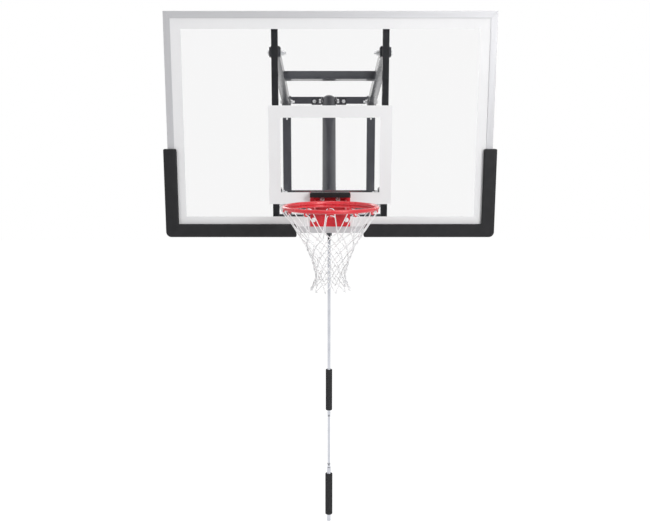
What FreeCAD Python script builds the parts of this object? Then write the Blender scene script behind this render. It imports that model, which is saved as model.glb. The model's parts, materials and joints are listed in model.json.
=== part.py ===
import FreeCAD
import Part

import math
import os
import re

# Wall-mounted basketball goal with a height crank.
# X runs to the right of someone facing the board, Z up, and the wall is the plane Y = 0.
# The board stands on the -Y side. The origin is the middle of the wall bolt pattern.

# Driving dimensions, in millimetres and degrees.
SIZES = {
    # Extra length that takes a cut clean through, and the play of running fits and soft parts.
    "through_cut": 5,
    "running_gap": 0.05,
    "soft_gap": 0.3,
    # Wall frame.
    "rail_spacing": 610,
    "rail_width": 60,
    "rail_depth": 40,
    "rail_wall": 3,
    "rail_top": 435,
    "rail_bottom": -465,
    "wall_hole": 13,
    "wall_hole_spacing": 552,
    "crossbar_height": 50,
    "top_crossbar_level": 407,
    "bottom_crossbar_level": -440,
    # Pivot brackets and pivot bolts.
    "pivot_spacing": 778,
    "upper_wall_pivot": 394,
    "bracket_reach": 55,
    "bracket_plate": 6,
    "ear_thickness": 6,
    "ear_radius": 26,
    "side_gap": 0.5,
    "pivot_bolt": 16,
    "pivot_bolt_flats": 24,
    "pivot_head": 10,
    "pivot_nut": 14,
    "pivot_tail": 14,
    # Arms.
    "arm_length": 1170,
    "arm_rest": 11,
    "arm_width": 50,
    "arm_height": 60,
    "arm_wall": 3,
    "arm_overhang": 28,
    "bush_outer": 24,
    "bush_stand": 0.3,
    "square_bar": 50,
    "square_bar_wall": 3,
    "upper_crossbar_station": 690,
    "front_crossbar_setback": 120,
    "lift_lever": 250,
    "yoke_reach": 112,
    "yoke_thickness": 8,
    "yoke_height": 44,
    "yoke_tail": 30,
    "slot_back_play": 11,
    "slot_front_play": 7,
    "slot_side_play": 1.8,
    # Screw jack between the wall frame and the lower arms, measured from its pin along its axis.
    "jack_pin_level": 399,
    "jack_pin_reach": 57,
    "jack_pin": 16,
    "clevis_plate": 8,
    "clevis_width": 250,
    "clevis_height": 50,
    "clevis_ear": 8,
    "clevis_gap": 2,
    "clevis_bolt": 12,
    "clevis_bolt_spacing": 210,
    "jack_tube": 95,
    "jack_tube_wall": 4,
    "cap_rise": 42,
    "cap_dome": 60,
    "cap_skirt": 35,
    "jack_tube_end": 628,
    "gland_length": 30,
    "gland_rim": 1,
    "ram_tube": 70,
    "ram_wall": 5,
    "ram_start": 300,
    "ram_end": 885,
    "guide_length": 40,
    "nut_tube": 46,
    "nut_tube_wall": 4,
    "nut_station": 480,
    "nut_length": 45,
    "screw": 24,
    "screw_start": 190,
    "trunnion_pin": 16,
    "trunnion_block": 100,
    "trunnion_height": 46,
    "trunnion_tail": 6,
    "end_cap": 15,
    "hang_station": 962,
    "lug_radius": 13,
    "lug_thickness": 9,
    "head_width": 19,
    "head_gap": 0.5,
    "head_depth": 26,
    "head_drop": 44,
    "head_pin": 10,
    # Crank, measured down from the head pin.
    "spindle": 12,
    "spindle_start": 12,
    "pole_length": 1334,
    "pole": 22,
    "grip_rise": 47,
    "grip_length": 305,
    "grip": 47,
    "grip_collar": 28,
    "collar_length": 6,
    "fork_width": 22,
    "fork_depth": 18,
    "fork_neck": 26,
    "fork_slot": 8.4,
    "fork_relief": 2.1,
    "tongue": 8,
    "tongue_neck": 15,
    "fold_pin": 6,
    "crank_link_length": 374,
    "link_rod": 20,
    "handle_rod": 28,
    "handle_length": 449,
    "handle_grip_start": 74,
    "handle_grip_length": 320,
    "handle_grip": 53,
    "handle_collar": 34,
    # Board.
    "board_width": 1800,
    "board_height": 1200,
    "board_rise": 205,
    "lip_width": 37,
    "lip_thickness": 4,
    "frame_depth": 45,
    "frame_wall": 3,
    "pane_thickness": 12,
    "pane_seat": 0.2,
    "groove_depth": 15,
    "print_thickness": 0.5,
    "border_width": 56,
    "target_width": 682,
    "target_height": 541,
    "target_line": 66,
    "target_drop": 20,
    "upright_width": 36,
    "upright_wall": 3,
    "upright_margin": 5,
    # Edge pads.
    "pad_out": 22,
    "pad_over": 52,
    "pad_proud": 20,
    "pad_wrap": 30,
    "pad_rise": 469,
    "pad_end": 189,
    "pad_corner": 30,
    # Rim.
    "rim_rise": 183,
    "ring_bore": 457,
    "ring_rod": 20,
    "ring_reach": 380,
    "brace_rod": 14,
    "brace_sink": 0.4,
    "brace_arc": 170,
    "plate_width": 224,
    "plate_thickness": 8,
    "plate_above": 49,
    "plate_below": 146,
    "rim_bolt": 14,
    "rim_bolt_flats": 24,
    "rim_bolt_head": 9,
    "upper_bolt_rise": 9,
    "upper_bolt_spacing": 87,
    "lower_bolt_drop": 108,
    "lower_bolt_spacing": 184,
    "support_bar": 50,
    "spacer": 30,
    "rear_plate_width": 150,
    "rear_plate_height": 60,
    "rear_plate": 6,
    "hinge_rise": 26,
    "hinge_reach": 20,
    "hinge_pin": 12,
    "hinge_eye": 12,
    "hinge_ear_spacing": 144,
    "carrier_spacing": 170,
    "carrier_plate": 8,
    "carrier_drop": 68,
    "web_reach": 40,
    "buffer": 30,
    "buffer_spacing": 80,
    "buffer_drop": 41,
    "buffer_waist": 3,
    "buffer_waists": 2,
    "cover_rise": 22,
    "cover_height": 27,
    "cover_reach": 60,
    "cover_wall": 3,
    "cover_corner": 9,
    # Net and its hooks.
    "hook_count": 12,
    "hook_wire": 8,
    "hook_half_width": 9,
    "hook_drop": 17,
    "net_cord": 5,
    "net_first_drop": 145,
    "net_rows": 8,
    "net_waist": 154,
    "net_waist_drop": 360,
    "net_taper": 1.6,
    "net_flare": 1.5,
    "net_hem": 204,
    "net_length": 424,
}

# Places worked out from the driving dimensions.
PLACES = {
    "wall_pivot_y": "-(rail_depth + bracket_reach)",
    "lower_wall_pivot": "upper_wall_pivot - pivot_spacing",
    "half_spacing": "rail_spacing / 2",
    "bracket_gap": "arm_width + 2 * side_gap",
    "bracket_outer": "arm_width + 2 * side_gap + 2 * ear_thickness",
    "board_pivot_y": "wall_pivot_y - arm_length * cos(arm_rest)",
    "upper_board_pivot": "upper_wall_pivot + arm_length * sin(arm_rest)",
    "lower_board_pivot": "upper_board_pivot - pivot_spacing",
    "upright_back": "board_pivot_y - bracket_reach",
    "frame_back": "upright_back - upright_width",
    "board_front": "frame_back - frame_depth",
    "board_top": "upper_board_pivot + board_rise",
    "board_bottom": "board_top - board_height",
    "board_middle": "board_top - board_height / 2",
    "pane_slot": "pane_thickness + 2 * pane_seat",
    "pane_front": "board_front + lip_thickness + pane_seat",
    "pane_back": "pane_front + pane_thickness",
    "print_front": "pane_front - print_thickness",
    "ring_level": "board_bottom + rim_rise",
    "ring_y": "board_front - ring_reach",
    "ring_radius": "ring_bore / 2 + ring_rod / 2",
    "plate_front": "print_front - plate_thickness",
    "upper_bolt_level": "ring_level + upper_bolt_rise",
    "lower_bolt_level": "ring_level - lower_bolt_drop",
    "hinge_level": "ring_level + hinge_rise",
    "hinge_y": "plate_front - hinge_reach",
    "web_back": "plate_front - web_reach",
    "jack_pin_y": "-(rail_depth + clevis_plate + jack_pin_reach)",
    "trunnion_y": "wall_pivot_y - lift_lever * cos(arm_rest)",
    "trunnion_z": "lower_wall_pivot + lift_lever * sin(arm_rest)",
    "jack_lean": "atan2(jack_pin_y - trunnion_y; jack_pin_level - trunnion_z) / 1deg",
    "trunnion_station": "sqrt((jack_pin_y - trunnion_y)^2 + (jack_pin_level - trunnion_z)^2)",
    "yoke_half": "trunnion_block / 2 + clevis_gap",
    "head_y": "jack_pin_y - hang_station * sin(jack_lean)",
    "head_z": "jack_pin_level - hang_station * cos(jack_lean)",
    "pole_start": "head_drop + soft_gap",
    "grip_start": "pole_length - grip_rise - grip_length",
    "handle_grip_top": "pole_length + crank_link_length + handle_grip_start",
    "fork_radius": "fork_depth / 2",
    "brace_drop": "(ring_rod + brace_rod) / 2 - brace_sink",
    "front_hook_drop": "ring_rod / 2 + hook_drop",
    "back_hook_drop": "brace_drop + brace_rod / 2 + hook_drop",
}

LEFT_RIGHT = {"left": -1, "right": 1}

doc = FreeCAD.newDocument("wall_goal")
nodes = []


def formula(text):
    """Point each size or place named in a formula at its sheet."""
    def point(match):
        word = match.group(0)
        if word in SIZES:
            return "Sizes." + word
        if word in PLACES:
            return "Places." + word
        return word
    return re.sub(r"[a-z_]+", point, str(text))


def fill_sheet(name, rows):
    """Write named rows into a new sheet."""
    sheet = doc.addObject("Spreadsheet::Sheet", name)
    for number, (alias, content) in enumerate(rows.items(), start=1):
        cell = "A{}".format(number)
        sheet.set(cell, content)
        sheet.setAlias(cell, alias)
        doc.recompute()
    return sheet


def bind(piece, **formulas):
    """Tie properties of a piece to the sheets."""
    for name, text in formulas.items():
        piece.setExpression(name, formula(text))
    return piece


def place(piece, spot, turn=(0, 0, 0)):
    """Put a piece at a spot, turned by yaw, pitch and roll."""
    vector = "create(<<vector>>; {}; {}; {})".format(*(formula(part) for part in spot))
    rotation = "create(<<rotation>>; {}; {}; {})".format(*(formula(part) for part in turn))
    piece.setExpression("Placement", "create(<<placement>>; {}; {})".format(vector, rotation))
    return piece


TURNS = {"x": (0, 90, 0), "y": (0, 0, -90), "z": (0, 0, 0)}


def block(size, corner):
    """A box from its lowest corner."""
    piece = bind(doc.addObject("Part::Box", "block"), Length=size[0], Width=size[1], Height=size[2])
    return place(piece, corner)


def rod(radius, length, start, along):
    """A round bar from a start point along an axis."""
    piece = bind(doc.addObject("Part::Cylinder", "rod"), Radius=radius, Height=length)
    return place(piece, start, TURNS[along])


def hexagon(flats, length, start, along):
    """A six-sided bar from a start point along an axis."""
    piece = doc.addObject("Part::Prism", "hexagon")
    piece.Polygon = 6
    bind(piece, Circumradius="({}) / sqrt(3)".format(flats), Height=length)
    return place(piece, start, TURNS[along])


def fuse(*pieces):
    """Join pieces that overlap."""
    joined = doc.addObject("Part::MultiFuse", "fused")
    joined.Shapes = list(pieces)
    joined.Refine = True
    return joined


def cut(base, *tools):
    """Take tools out of a base."""
    for tool in tools:
        rest = doc.addObject("Part::Cut", "cut")
        rest.Base = base
        rest.Tool = tool
        base = rest
    return base


def common(first, second):
    """Keep what two pieces share."""
    shared = doc.addObject("Part::Common", "shared")
    shared.Base = first
    shared.Tool = second
    return shared


def group(*pieces):
    """Keep like pieces as separate solids of one sub-part."""
    several = doc.addObject("Part::Compound", "group")
    several.Links = list(pieces)
    return several


def solid(shape):
    """A piece whose shape is worked out in code."""
    piece = doc.addObject("Part::Feature", "worked")
    piece.Shape = shape
    return piece


def tube(outer, inner, length, start, along):
    """A round tube from a start point along an axis."""
    return cut(rod("({}) / 2".format(outer), length, start, along),
               rod("({}) / 2".format(inner), length, start, along))


def square_tube(size, wall, corner, along):
    """A rectangular tube, open at both ends along one axis."""
    inner_size = []
    inner_corner = []
    for axis, length, low in zip("xyz", size, corner):
        open_axis = axis == along
        inner_size.append(length if open_axis else "{} - 2 * ({})".format(length, wall))
        inner_corner.append(low if open_axis else "{} + {}".format(low, wall))
    return cut(block(size, corner), block(inner_size, inner_corner))


def keep(piece, label):
    """Name a finished sub-part."""
    piece.Label = label
    nodes.append(piece)
    return piece


sizes = fill_sheet("Sizes", {alias: str(value) for alias, value in SIZES.items()})
places = fill_sheet("Places", {alias: "=" + formula(text) for alias, text in PLACES.items()})


def value(name):
    """Read a size or a place as a number."""
    sheet = sizes if name in SIZES else places
    return float(sheet.get(name))


def wall_rail(side):
    """Upright tube of the wall frame with its two wall bolt holes."""
    middle = "{} * half_spacing".format(side)
    rail = square_tube(("rail_width", "rail_depth", "rail_top - rail_bottom"), "rail_wall",
                       (middle + " - rail_width / 2", "-rail_depth", "rail_bottom"), "z")
    holes = [rod("wall_hole / 2", "rail_depth + 2 * through_cut",
                 (middle, "-rail_depth - through_cut", "{} * wall_hole_spacing / 2".format(end)), "y")
             for end in (-1, 1)]
    return cut(rail, *holes)


def wall_crossbar(level):
    """Tube between the rails."""
    length = "rail_spacing - rail_width"
    corner = ("-({}) / 2".format(length), "-rail_depth", level + " - crossbar_height / 2")
    return square_tube((length, "rail_depth", "crossbar_height"), "rail_wall", corner, "x")


def pivot_bracket(spot, turn=0):
    """Clevis that holds an arm's end between two round ears."""
    body = fuse(block(("bracket_outer", "bracket_reach", "2 * ear_radius"),
                      ("-bracket_outer / 2", "-bracket_reach", "-ear_radius")),
                rod("ear_radius", "bracket_outer", ("-bracket_outer / 2", "-bracket_reach", "0"), "x"))
    slot = block(("bracket_gap", "bracket_reach + ear_radius", "2 * (ear_radius + through_cut)"),
                 ("-bracket_gap / 2", "-(bracket_plate + bracket_reach + ear_radius)",
                  "-ear_radius - through_cut"))
    hole = rod("pivot_bolt / 2", "bracket_outer", ("-bracket_outer / 2", "-bracket_reach", "0"), "x")
    return place(cut(body, slot, hole), spot, (turn, 0, 0))


def pivot_bolt(spot, turn):
    """Hexagon bolt and nut through a pivot, with its head on the outer side."""
    face = "bracket_outer / 2"
    shank = rod("pivot_bolt / 2", "bracket_outer + pivot_nut + pivot_tail", ("-" + face, "0", "0"), "x")
    head = hexagon("pivot_bolt_flats", "pivot_head", ("-{} - pivot_head".format(face), "0", "0"), "x")
    nut = hexagon("pivot_bolt_flats", "pivot_nut", (face, "0", "0"), "x")
    return place(fuse(shank, head, nut), spot, (turn, 0, 0))


def pivot_set(y, levels, turn):
    """Brackets and bolts at both sides and several levels."""
    brackets = []
    bolts = []
    for side in LEFT_RIGHT.values():
        for level, back in levels:
            middle = "{} * half_spacing".format(side)
            brackets.append(pivot_bracket((middle, back, level), turn))
            bolts.append(pivot_bolt((middle, y, level), 0 if side < 0 else 180))
    return group(*brackets), group(*bolts)


def arm(side):
    """Arm tube with a bush bore at each end, pointing along -Y from its wall pivot."""
    middle = "{} * half_spacing".format(side)
    beam = square_tube(("arm_width", "arm_length + 2 * arm_overhang", "arm_height"), "arm_wall",
                       (middle + " - arm_width / 2", "-(arm_length + arm_overhang)", "-arm_height / 2"), "y")
    bores = [rod("bush_outer / 2", "arm_width + 2 * through_cut",
                 (middle + " - arm_width / 2 - through_cut", "-" + station, "0"), "x")
             for station in ("0", "arm_length")]
    return cut(beam, *bores)


def arm_bushes():
    """Sleeves in the four ends of a pair of arms."""
    sleeves = []
    for side in LEFT_RIGHT.values():
        for station in ("0", "arm_length"):
            start = ("{} * half_spacing - arm_width / 2 - bush_stand".format(side), "-" + station, "0")
            sleeves.append(tube("bush_outer", "pivot_bolt + 2 * running_gap", "arm_width + 2 * bush_stand",
                                start, "x"))
    return group(*sleeves)


def arm_crossbar(station):
    """Square tube between a pair of arms."""
    return square_tube(("rail_spacing - arm_width", "square_bar", "square_bar"), "square_bar_wall",
                       ("-(rail_spacing - arm_width) / 2", "-({} + square_bar / 2)".format(station),
                        "-square_bar / 2"), "x")


def on_arm(piece, pivot):
    """Turn a piece from the arms' own line to their rest slope."""
    return place(piece, ("0", "wall_pivot_y", pivot), (0, 0, "-arm_rest"))


def lift_yoke():
    """Two slotted lugs that take the jack's trunnion."""
    lugs = []
    length = "yoke_reach - square_bar / 2 + yoke_tail"
    for side in LEFT_RIGHT.values():
        low = "yoke_half" if side > 0 else "-yoke_half - yoke_thickness"
        lug = block(("yoke_thickness", length, "yoke_height"),
                    (low, "-(lift_lever + yoke_reach - square_bar / 2)", "-yoke_height / 2"))
        slot_radius = "trunnion_pin / 2 + slot_side_play"
        ends = ["-(lift_lever + slot_front_play)", "-(lift_lever - slot_back_play)"]
        slot = fuse(*[rod(slot_radius, "yoke_thickness", (low, end, "0"), "x") for end in ends],
                    block(("yoke_thickness", "slot_front_play + slot_back_play",
                           "2 * ({})".format(slot_radius)),
                          (low, ends[0], "-({})".format(slot_radius))))
        lugs.append(cut(lug, slot))
    return group(*lugs)


def jack_clevis():
    """Plate with two ears on the top crossbar that holds the jack's pin."""
    bottom = "jack_pin_level - clevis_height / 2"
    pieces = [block(("clevis_width", "clevis_plate", "clevis_height"),
                    ("-clevis_width / 2", "-(rail_depth + clevis_plate)", bottom))]
    for side in LEFT_RIGHT.values():
        inner = "jack_tube / 2 + clevis_gap"
        low = inner if side > 0 else "-({} + clevis_ear)".format(inner)
        pieces.append(block(("clevis_ear", "jack_pin_reach + clevis_plate", "clevis_height"),
                            (low, "jack_pin_y", bottom)))
        pieces.append(rod("clevis_height / 2", "clevis_ear", (low, "jack_pin_y", "jack_pin_level"), "x"))
    length = "jack_tube + 2 * (clevis_gap + clevis_ear)"
    hole = rod("jack_pin / 2", length, ("-({}) / 2".format(length), "jack_pin_y", "jack_pin_level"), "x")
    return cut(fuse(*pieces), hole)


def jack_pin():
    """Bolt through the clevis and the jack's cap, with a head and a nut."""
    grip = "jack_tube + 2 * (clevis_gap + clevis_ear)"
    low = "-({}) / 2".format(grip)
    shank = rod("jack_pin / 2", grip + " + pivot_nut", (low, "jack_pin_y", "jack_pin_level"), "x")
    ends = [hexagon("pivot_bolt_flats", "pivot_nut", (x, "jack_pin_y", "jack_pin_level"), "x")
            for x in (low + " - pivot_nut", "({}) / 2".format(grip))]
    return fuse(shank, *ends)


def clevis_bolts():
    """Hexagon heads that hold the clevis to the top crossbar."""
    heads = []
    for side in LEFT_RIGHT.values():
        spot = ("{} * clevis_bolt_spacing / 2".format(side),
                "-(rail_depth + clevis_plate + clevis_bolt)", "jack_pin_level")
        heads.append(hexagon("2 * clevis_bolt", "clevis_bolt", spot, "y"))
    return group(*heads)


def on_jack(piece):
    """Lean a piece from a plumb jack to its rest slope."""
    return place(piece, ("0", "jack_pin_y", "jack_pin_level"), (0, 0, "-jack_lean"))


def jack_cap():
    """Domed top of the jack with a cross bore for its pin and a spigot inside the tube."""
    dome = bind(doc.addObject("Part::Sphere", "dome"), Radius="cap_dome")
    place(dome, ("0", "0", "cap_rise - cap_dome"))
    head = common(rod("jack_tube / 2", "cap_rise + cap_skirt", ("0", "0", "-cap_skirt"), "z"), dome)
    bore = rod("jack_pin / 2 + running_gap", "jack_tube", ("-jack_tube / 2", "0", "0"), "x")
    return cut(head, bore)


def jack_gland():
    """Guide at the lower end of the outer tube."""
    bottom = ("0", "0", "-(jack_tube_end + gland_length)")
    spigot = rod("jack_tube / 2 - jack_tube_wall", "gland_length", ("0", "0", "-jack_tube_end"), "z")
    rim = rod("jack_tube / 2 + gland_rim", "gland_length", bottom, "z")
    bore = rod("ram_tube / 2 + running_gap", "2 * gland_length", bottom, "z")
    return cut(fuse(spigot, rim), bore)


def nut_tube():
    """Tube inside the ram that carries the fixed lead nut at its lower end."""
    wall = tube("nut_tube", "nut_tube - 2 * nut_tube_wall", "nut_station - cap_skirt",
                ("0", "0", "-nut_station"), "z")
    nut = tube("nut_tube", "screw + 2 * soft_gap", "nut_length",
               ("0", "0", "-(nut_station + nut_length)"), "z")
    return fuse(wall, nut)


def ram_guide():
    """Ring on the ram's upper end that slides in the outer tube."""
    return tube("jack_tube - 2 * jack_tube_wall - 2 * soft_gap", "ram_tube", "guide_length",
                ("0", "0", "-(ram_start + guide_length)"), "z")


def trunnion_collar():
    """Block round the ram with a pin at each side."""
    collar = block(("trunnion_block", "trunnion_block", "trunnion_height"),
                   ("-trunnion_block / 2", "-trunnion_block / 2",
                    "-(trunnion_station + trunnion_height / 2)"))
    length = "2 * (yoke_half + yoke_thickness + trunnion_tail)"
    pins = rod("trunnion_pin / 2", length, ("-({}) / 2".format(length), "0", "-trunnion_station"), "x")
    bore = rod("ram_tube / 2", "trunnion_height + 2 * through_cut",
               ("0", "0", "-(trunnion_station + trunnion_height / 2 + through_cut)"), "z")
    return cut(fuse(collar, pins), bore)


def ram_end_cap():
    """Closed end of the ram with two lugs for the crank head."""
    pieces = [rod("ram_tube / 2", "end_cap", ("0", "0", "-(ram_end + end_cap)"), "z")]
    for side in LEFT_RIGHT.values():
        inner = "head_width / 2 + head_gap"
        low = inner if side > 0 else "-({} + lug_thickness)".format(inner)
        pieces.append(block(("lug_thickness", "2 * lug_radius", "hang_station - ram_end"),
                            (low, "-lug_radius", "-hang_station")))
        pieces.append(rod("lug_radius", "lug_thickness", (low, "0", "-hang_station"), "x"))
    span = "head_width + 2 * (head_gap + lug_thickness)"
    hole = rod("head_pin / 2", span, ("-({}) / 2".format(span), "0", "-hang_station"), "x")
    screw_hole = rod("screw / 2 + running_gap", "end_cap + 2 * through_cut",
                     ("0", "0", "-(ram_end + end_cap + through_cut)"), "z")
    return cut(fuse(*pieces), hole, screw_hole)


def head_pin():
    """Pin across the two lugs."""
    span = "head_width + 2 * (head_gap + lug_thickness)"
    return group(rod("head_pin / 2", span, ("-({}) / 2".format(span), "0", "-hang_station"), "x"))


def lead_screw():
    """Screw that runs in the lead nut and turns in the ram's end cap."""
    end = "ram_end + end_cap"
    return group(rod("screw / 2", end + " - screw_start", ("0", "0", "-({})".format(end)), "z"))


def on_crank(piece):
    """Hang a piece of the crank plumb under the head pin."""
    return place(piece, ("0", "head_y", "head_z"))


def crank_head():
    """Hanging block with a cross bore for its pin and a blind bore for the spindle."""
    body = fuse(block(("head_width", "head_depth", "head_drop"),
                      ("-head_width / 2", "-head_depth / 2", "-head_drop")),
                rod("head_depth / 2", "head_width", ("-head_width / 2", "0", "0"), "x"))
    pin_bore = rod("head_pin / 2 + running_gap", "head_width", ("-head_width / 2", "0", "0"), "x")
    spindle_bore = rod("spindle / 2 + running_gap", "head_drop - spindle_start + soft_gap",
                       ("0", "0", "-head_drop"), "z")
    return cut(body, pin_bore, spindle_bore)


def fork(level, way):
    """Round-ended fork that opens down (-1) or up (1) from a fold axis."""
    neck = "{} - fork_neck".format(level) if way > 0 else level
    body = fuse(block(("fork_width", "fork_depth", "fork_neck"), ("-fork_width / 2", "-fork_radius", neck)),
                rod("fork_radius", "fork_width", ("-fork_width / 2", "0", level), "x"))
    slot_depth = "2 * (fork_radius + fork_relief)"
    slot = block(("fork_slot", "fork_depth + 2 * through_cut", slot_depth),
                 ("-fork_slot / 2", "-fork_radius - through_cut",
                  "{} - ({}) / 2".format(level, slot_depth)))
    hole = rod("fold_pin / 2", "fork_width", ("-fork_width / 2", "0", level), "x")
    return cut(body, slot, hole)


def tongue(level, way):
    """Flat eye that fits a fork; its neck runs down (-1) or up (1)."""
    neck = "{} - tongue_neck".format(level) if way < 0 else level
    return fuse(block(("tongue", "fork_depth", "tongue_neck"), ("-tongue / 2", "-fork_radius", neck)),
                rod("fork_radius", "tongue", ("-tongue / 2", "0", level), "x"))


def grip_collars(size, start, length):
    """Rings above and below a grip that keep it on its rod."""
    levels = ("-({}) + soft_gap".format(start),
              "-({} + {} + collar_length + soft_gap)".format(start, length))
    return [rod(size + " / 2", "collar_length", ("0", "0", level), "z") for level in levels]


def crank_pole():
    """Spindle, long rod, head collar, grip collars and lower fork."""
    spindle = rod("spindle / 2", "pole_start - spindle_start", ("0", "0", "-pole_start"), "z")
    stem = rod("pole / 2", "pole_length - fork_neck - pole_start",
               ("0", "0", "-(pole_length - fork_neck)"), "z")
    head_collar = rod("grip_collar / 2", "collar_length", ("0", "0", "-(pole_start + collar_length)"), "z")
    collars = grip_collars("grip_collar", "grip_start", "grip_length")
    return fuse(spindle, stem, head_collar, *collars, fork("-pole_length", -1))


def crank_link():
    """Middle link with an eye at each end."""
    low = "-(pole_length + crank_link_length)"
    stem = rod("link_rod / 2", "crank_link_length - 2 * tongue_neck", ("0", "0", low + " + tongue_neck"), "z")
    body = fuse(stem, tongue("-pole_length", -1), tongue(low, 1))
    holes = [rod("fold_pin / 2 + running_gap", "tongue", ("-tongue / 2", "0", level), "x")
             for level in ("-pole_length", low)]
    return cut(body, *holes)


def crank_handle():
    """Handle rod with its fork at the top and the collars of its grip."""
    top = "-(pole_length + crank_link_length)"
    stem = rod("handle_rod / 2", "handle_length - fork_neck", ("0", "0", top + " - handle_length"), "z")
    collars = grip_collars("handle_collar", "handle_grip_top", "handle_grip_length")
    return fuse(stem, *collars, fork(top, 1))


def fold_pin(level):
    """Rivet across a fork."""
    return group(rod("fold_pin / 2", "fork_width", ("-fork_width / 2", "0", level), "x"))


def grip(outer, bore, length, start):
    """Foam sleeve that turns on its rod."""
    return tube(outer, bore + " + 2 * soft_gap", length, ("0", "0", "-({} + {})".format(start, length)), "z")


def frame_member(length, spot, pitch):
    """Frame bar with mitred ends, a groove for the pane and a hollow behind it."""
    bar = bind(doc.addObject("Part::Wedge", "mitred_bar"),
               Xmin="-{} / 2".format(length), Xmax="{} / 2".format(length), Ymin="0", Ymax="lip_width",
               Zmin="0", Zmax="frame_depth", Z2min="0", Z2max="frame_depth",
               X2min="-{} / 2 + lip_width".format(length), X2max="{} / 2 - lip_width".format(length))
    groove = block((length, "groove_depth + through_cut", "pane_slot"),
                   ("-{} / 2".format(length), "lip_width - groove_depth", "lip_thickness"))
    hollow_start = "lip_thickness + pane_slot + frame_wall"
    hollow = block((length, "lip_width - 2 * frame_wall",
                    "frame_depth - frame_wall - ({})".format(hollow_start)),
                   ("-{} / 2".format(length), "frame_wall", hollow_start))
    return place(cut(bar, groove, hollow), spot, (0, pitch, -90))


def rim_bolt_spots():
    """Places of the four bolts that hold the rim plate."""
    for side in LEFT_RIGHT.values():
        yield "{} * upper_bolt_spacing / 2".format(side), "upper_bolt_level"
        yield "{} * lower_bolt_spacing / 2".format(side), "lower_bolt_level"


def rim_bolt_holes(start, end):
    """Bores for the four rim bolts between two planes."""
    return [rod("rim_bolt / 2", "{} - ({})".format(end, start), (x, start, level), "y")
            for x, level in rim_bolt_spots()]


def glass_pane():
    """Clear pane held in the frame's groove."""
    inset = "(lip_width - groove_depth + pane_seat)"
    pane = block(("board_width - 2 * " + inset, "pane_thickness", "board_height - 2 * " + inset),
                 ("-board_width / 2 + " + inset, "pane_front", "board_bottom + " + inset))
    return cut(pane, *rim_bolt_holes("pane_front - through_cut", "pane_back + through_cut"))


def printed_band(width, height, line, bottom):
    """White rectangle outline printed on the front of the pane."""
    outer = block((width, "print_thickness", height), ("-({}) / 2".format(width), "print_front", bottom))
    opening = ["{} - 2 * {}".format(side, line) for side in (width, height)]
    inner = block((opening[0], "print_thickness", opening[1]),
                  ("-({}) / 2".format(opening[0]), "print_front", "{} + {}".format(bottom, line)))
    return cut(outer, inner)


def board_print():
    """White border along the frame and white target behind the rim."""
    border = printed_band("(board_width - 2 * lip_width)", "(board_height - 2 * lip_width)", "border_width",
                          "board_bottom + lip_width")
    target = printed_band("target_width", "target_height", "target_line", "ring_level - target_drop")
    bolt_holes = rim_bolt_holes("print_front - through_cut", "pane_front + through_cut")
    return group(cut(border, *bolt_holes[1::2]), cut(target, *bolt_holes[0::2]))


def upright(side):
    """Tube behind the pane that carries two pivot brackets."""
    corner = ("{} * half_spacing - upright_width / 2".format(side), "frame_back",
              "board_bottom + upright_margin")
    return square_tube(("upright_width", "upright_width", "board_height - 2 * upright_margin"),
                       "upright_wall", corner, "z")


def rim_support_bar():
    """Tube between the uprights with two bosses that reach the back of the pane."""
    length = "rail_spacing - upright_width"
    corner = ("-({}) / 2".format(length), "frame_back", "lower_bolt_level - support_bar / 2")
    bar = square_tube((length, "upright_width", "support_bar"), "upright_wall", corner, "x")
    bosses = [rod("spacer / 2", "frame_back - pane_back",
                  ("{} * lower_bolt_spacing / 2".format(side), "pane_back", "lower_bolt_level"), "y")
              for side in LEFT_RIGHT.values()]
    holes = rim_bolt_holes("pane_back - through_cut", "upright_back + through_cut")
    return cut(fuse(bar, *bosses), *holes[1::2])


def rear_rim_plate():
    """Plate behind the pane under the upper rim bolts' nuts."""
    plate = block(("rear_plate_width", "rear_plate", "rear_plate_height"),
                  ("-rear_plate_width / 2", "pane_back", "upper_bolt_level - rear_plate_height / 2"))
    holes = rim_bolt_holes("pane_back - through_cut", "pane_back + rear_plate + through_cut")
    return cut(plate, *holes[0::2])


def rim_bolts():
    """Bolts with heads on the rim plate and nuts behind the pane."""
    bolts = []
    ends = {"upper_bolt_level": "pane_back + rear_plate", "lower_bolt_level": "upright_back"}
    for x, level in rim_bolt_spots():
        end = ends[level]
        shank = rod("rim_bolt / 2", "{} + rim_bolt_head - plate_front".format(end),
                    (x, "plate_front", level), "y")
        caps = [hexagon("rim_bolt_flats", "rim_bolt_head", (x, start, level), "y")
                for start in ("plate_front - rim_bolt_head", end)]
        bolts.append(fuse(shank, *caps))
    return group(*bolts)


def edge_pad(side):
    """L-shaped foam pad round a lower corner of the frame."""
    depth = "pad_proud + pad_wrap"
    front = "board_front - pad_proud"
    outer_x = "(board_width / 2 + pad_out)"
    low_z = "board_bottom - pad_out"
    band = "(pad_out + pad_over)"
    leg_low = "-" + outer_x if side < 0 else "board_width / 2 - pad_over"
    leg = block((band, depth, "pad_rise + pad_out"), (leg_low, front, low_z))
    foot_low = "-" + outer_x if side < 0 else "pad_end"
    foot = block((outer_x + " - pad_end", depth, band), (foot_low, front, low_z))
    frame_low = "-board_width / 2 - soft_gap" if side < 0 else "0"
    frame_space = block(("board_width / 2 + soft_gap", depth, "board_height"),
                        (frame_low, "board_front - soft_gap", "board_bottom - soft_gap"))
    square_low = "-" + outer_x if side < 0 else outer_x + " - pad_corner"
    corner_x = "{} * ({} - pad_corner)".format(side, outer_x)
    corner = cut(block(("pad_corner", depth, "pad_corner"), (square_low, front, low_z)),
                 rod("pad_corner", depth, (corner_x, front, low_z + " + pad_corner"), "y"))
    return cut(fuse(leg, foot), frame_space, corner)


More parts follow.
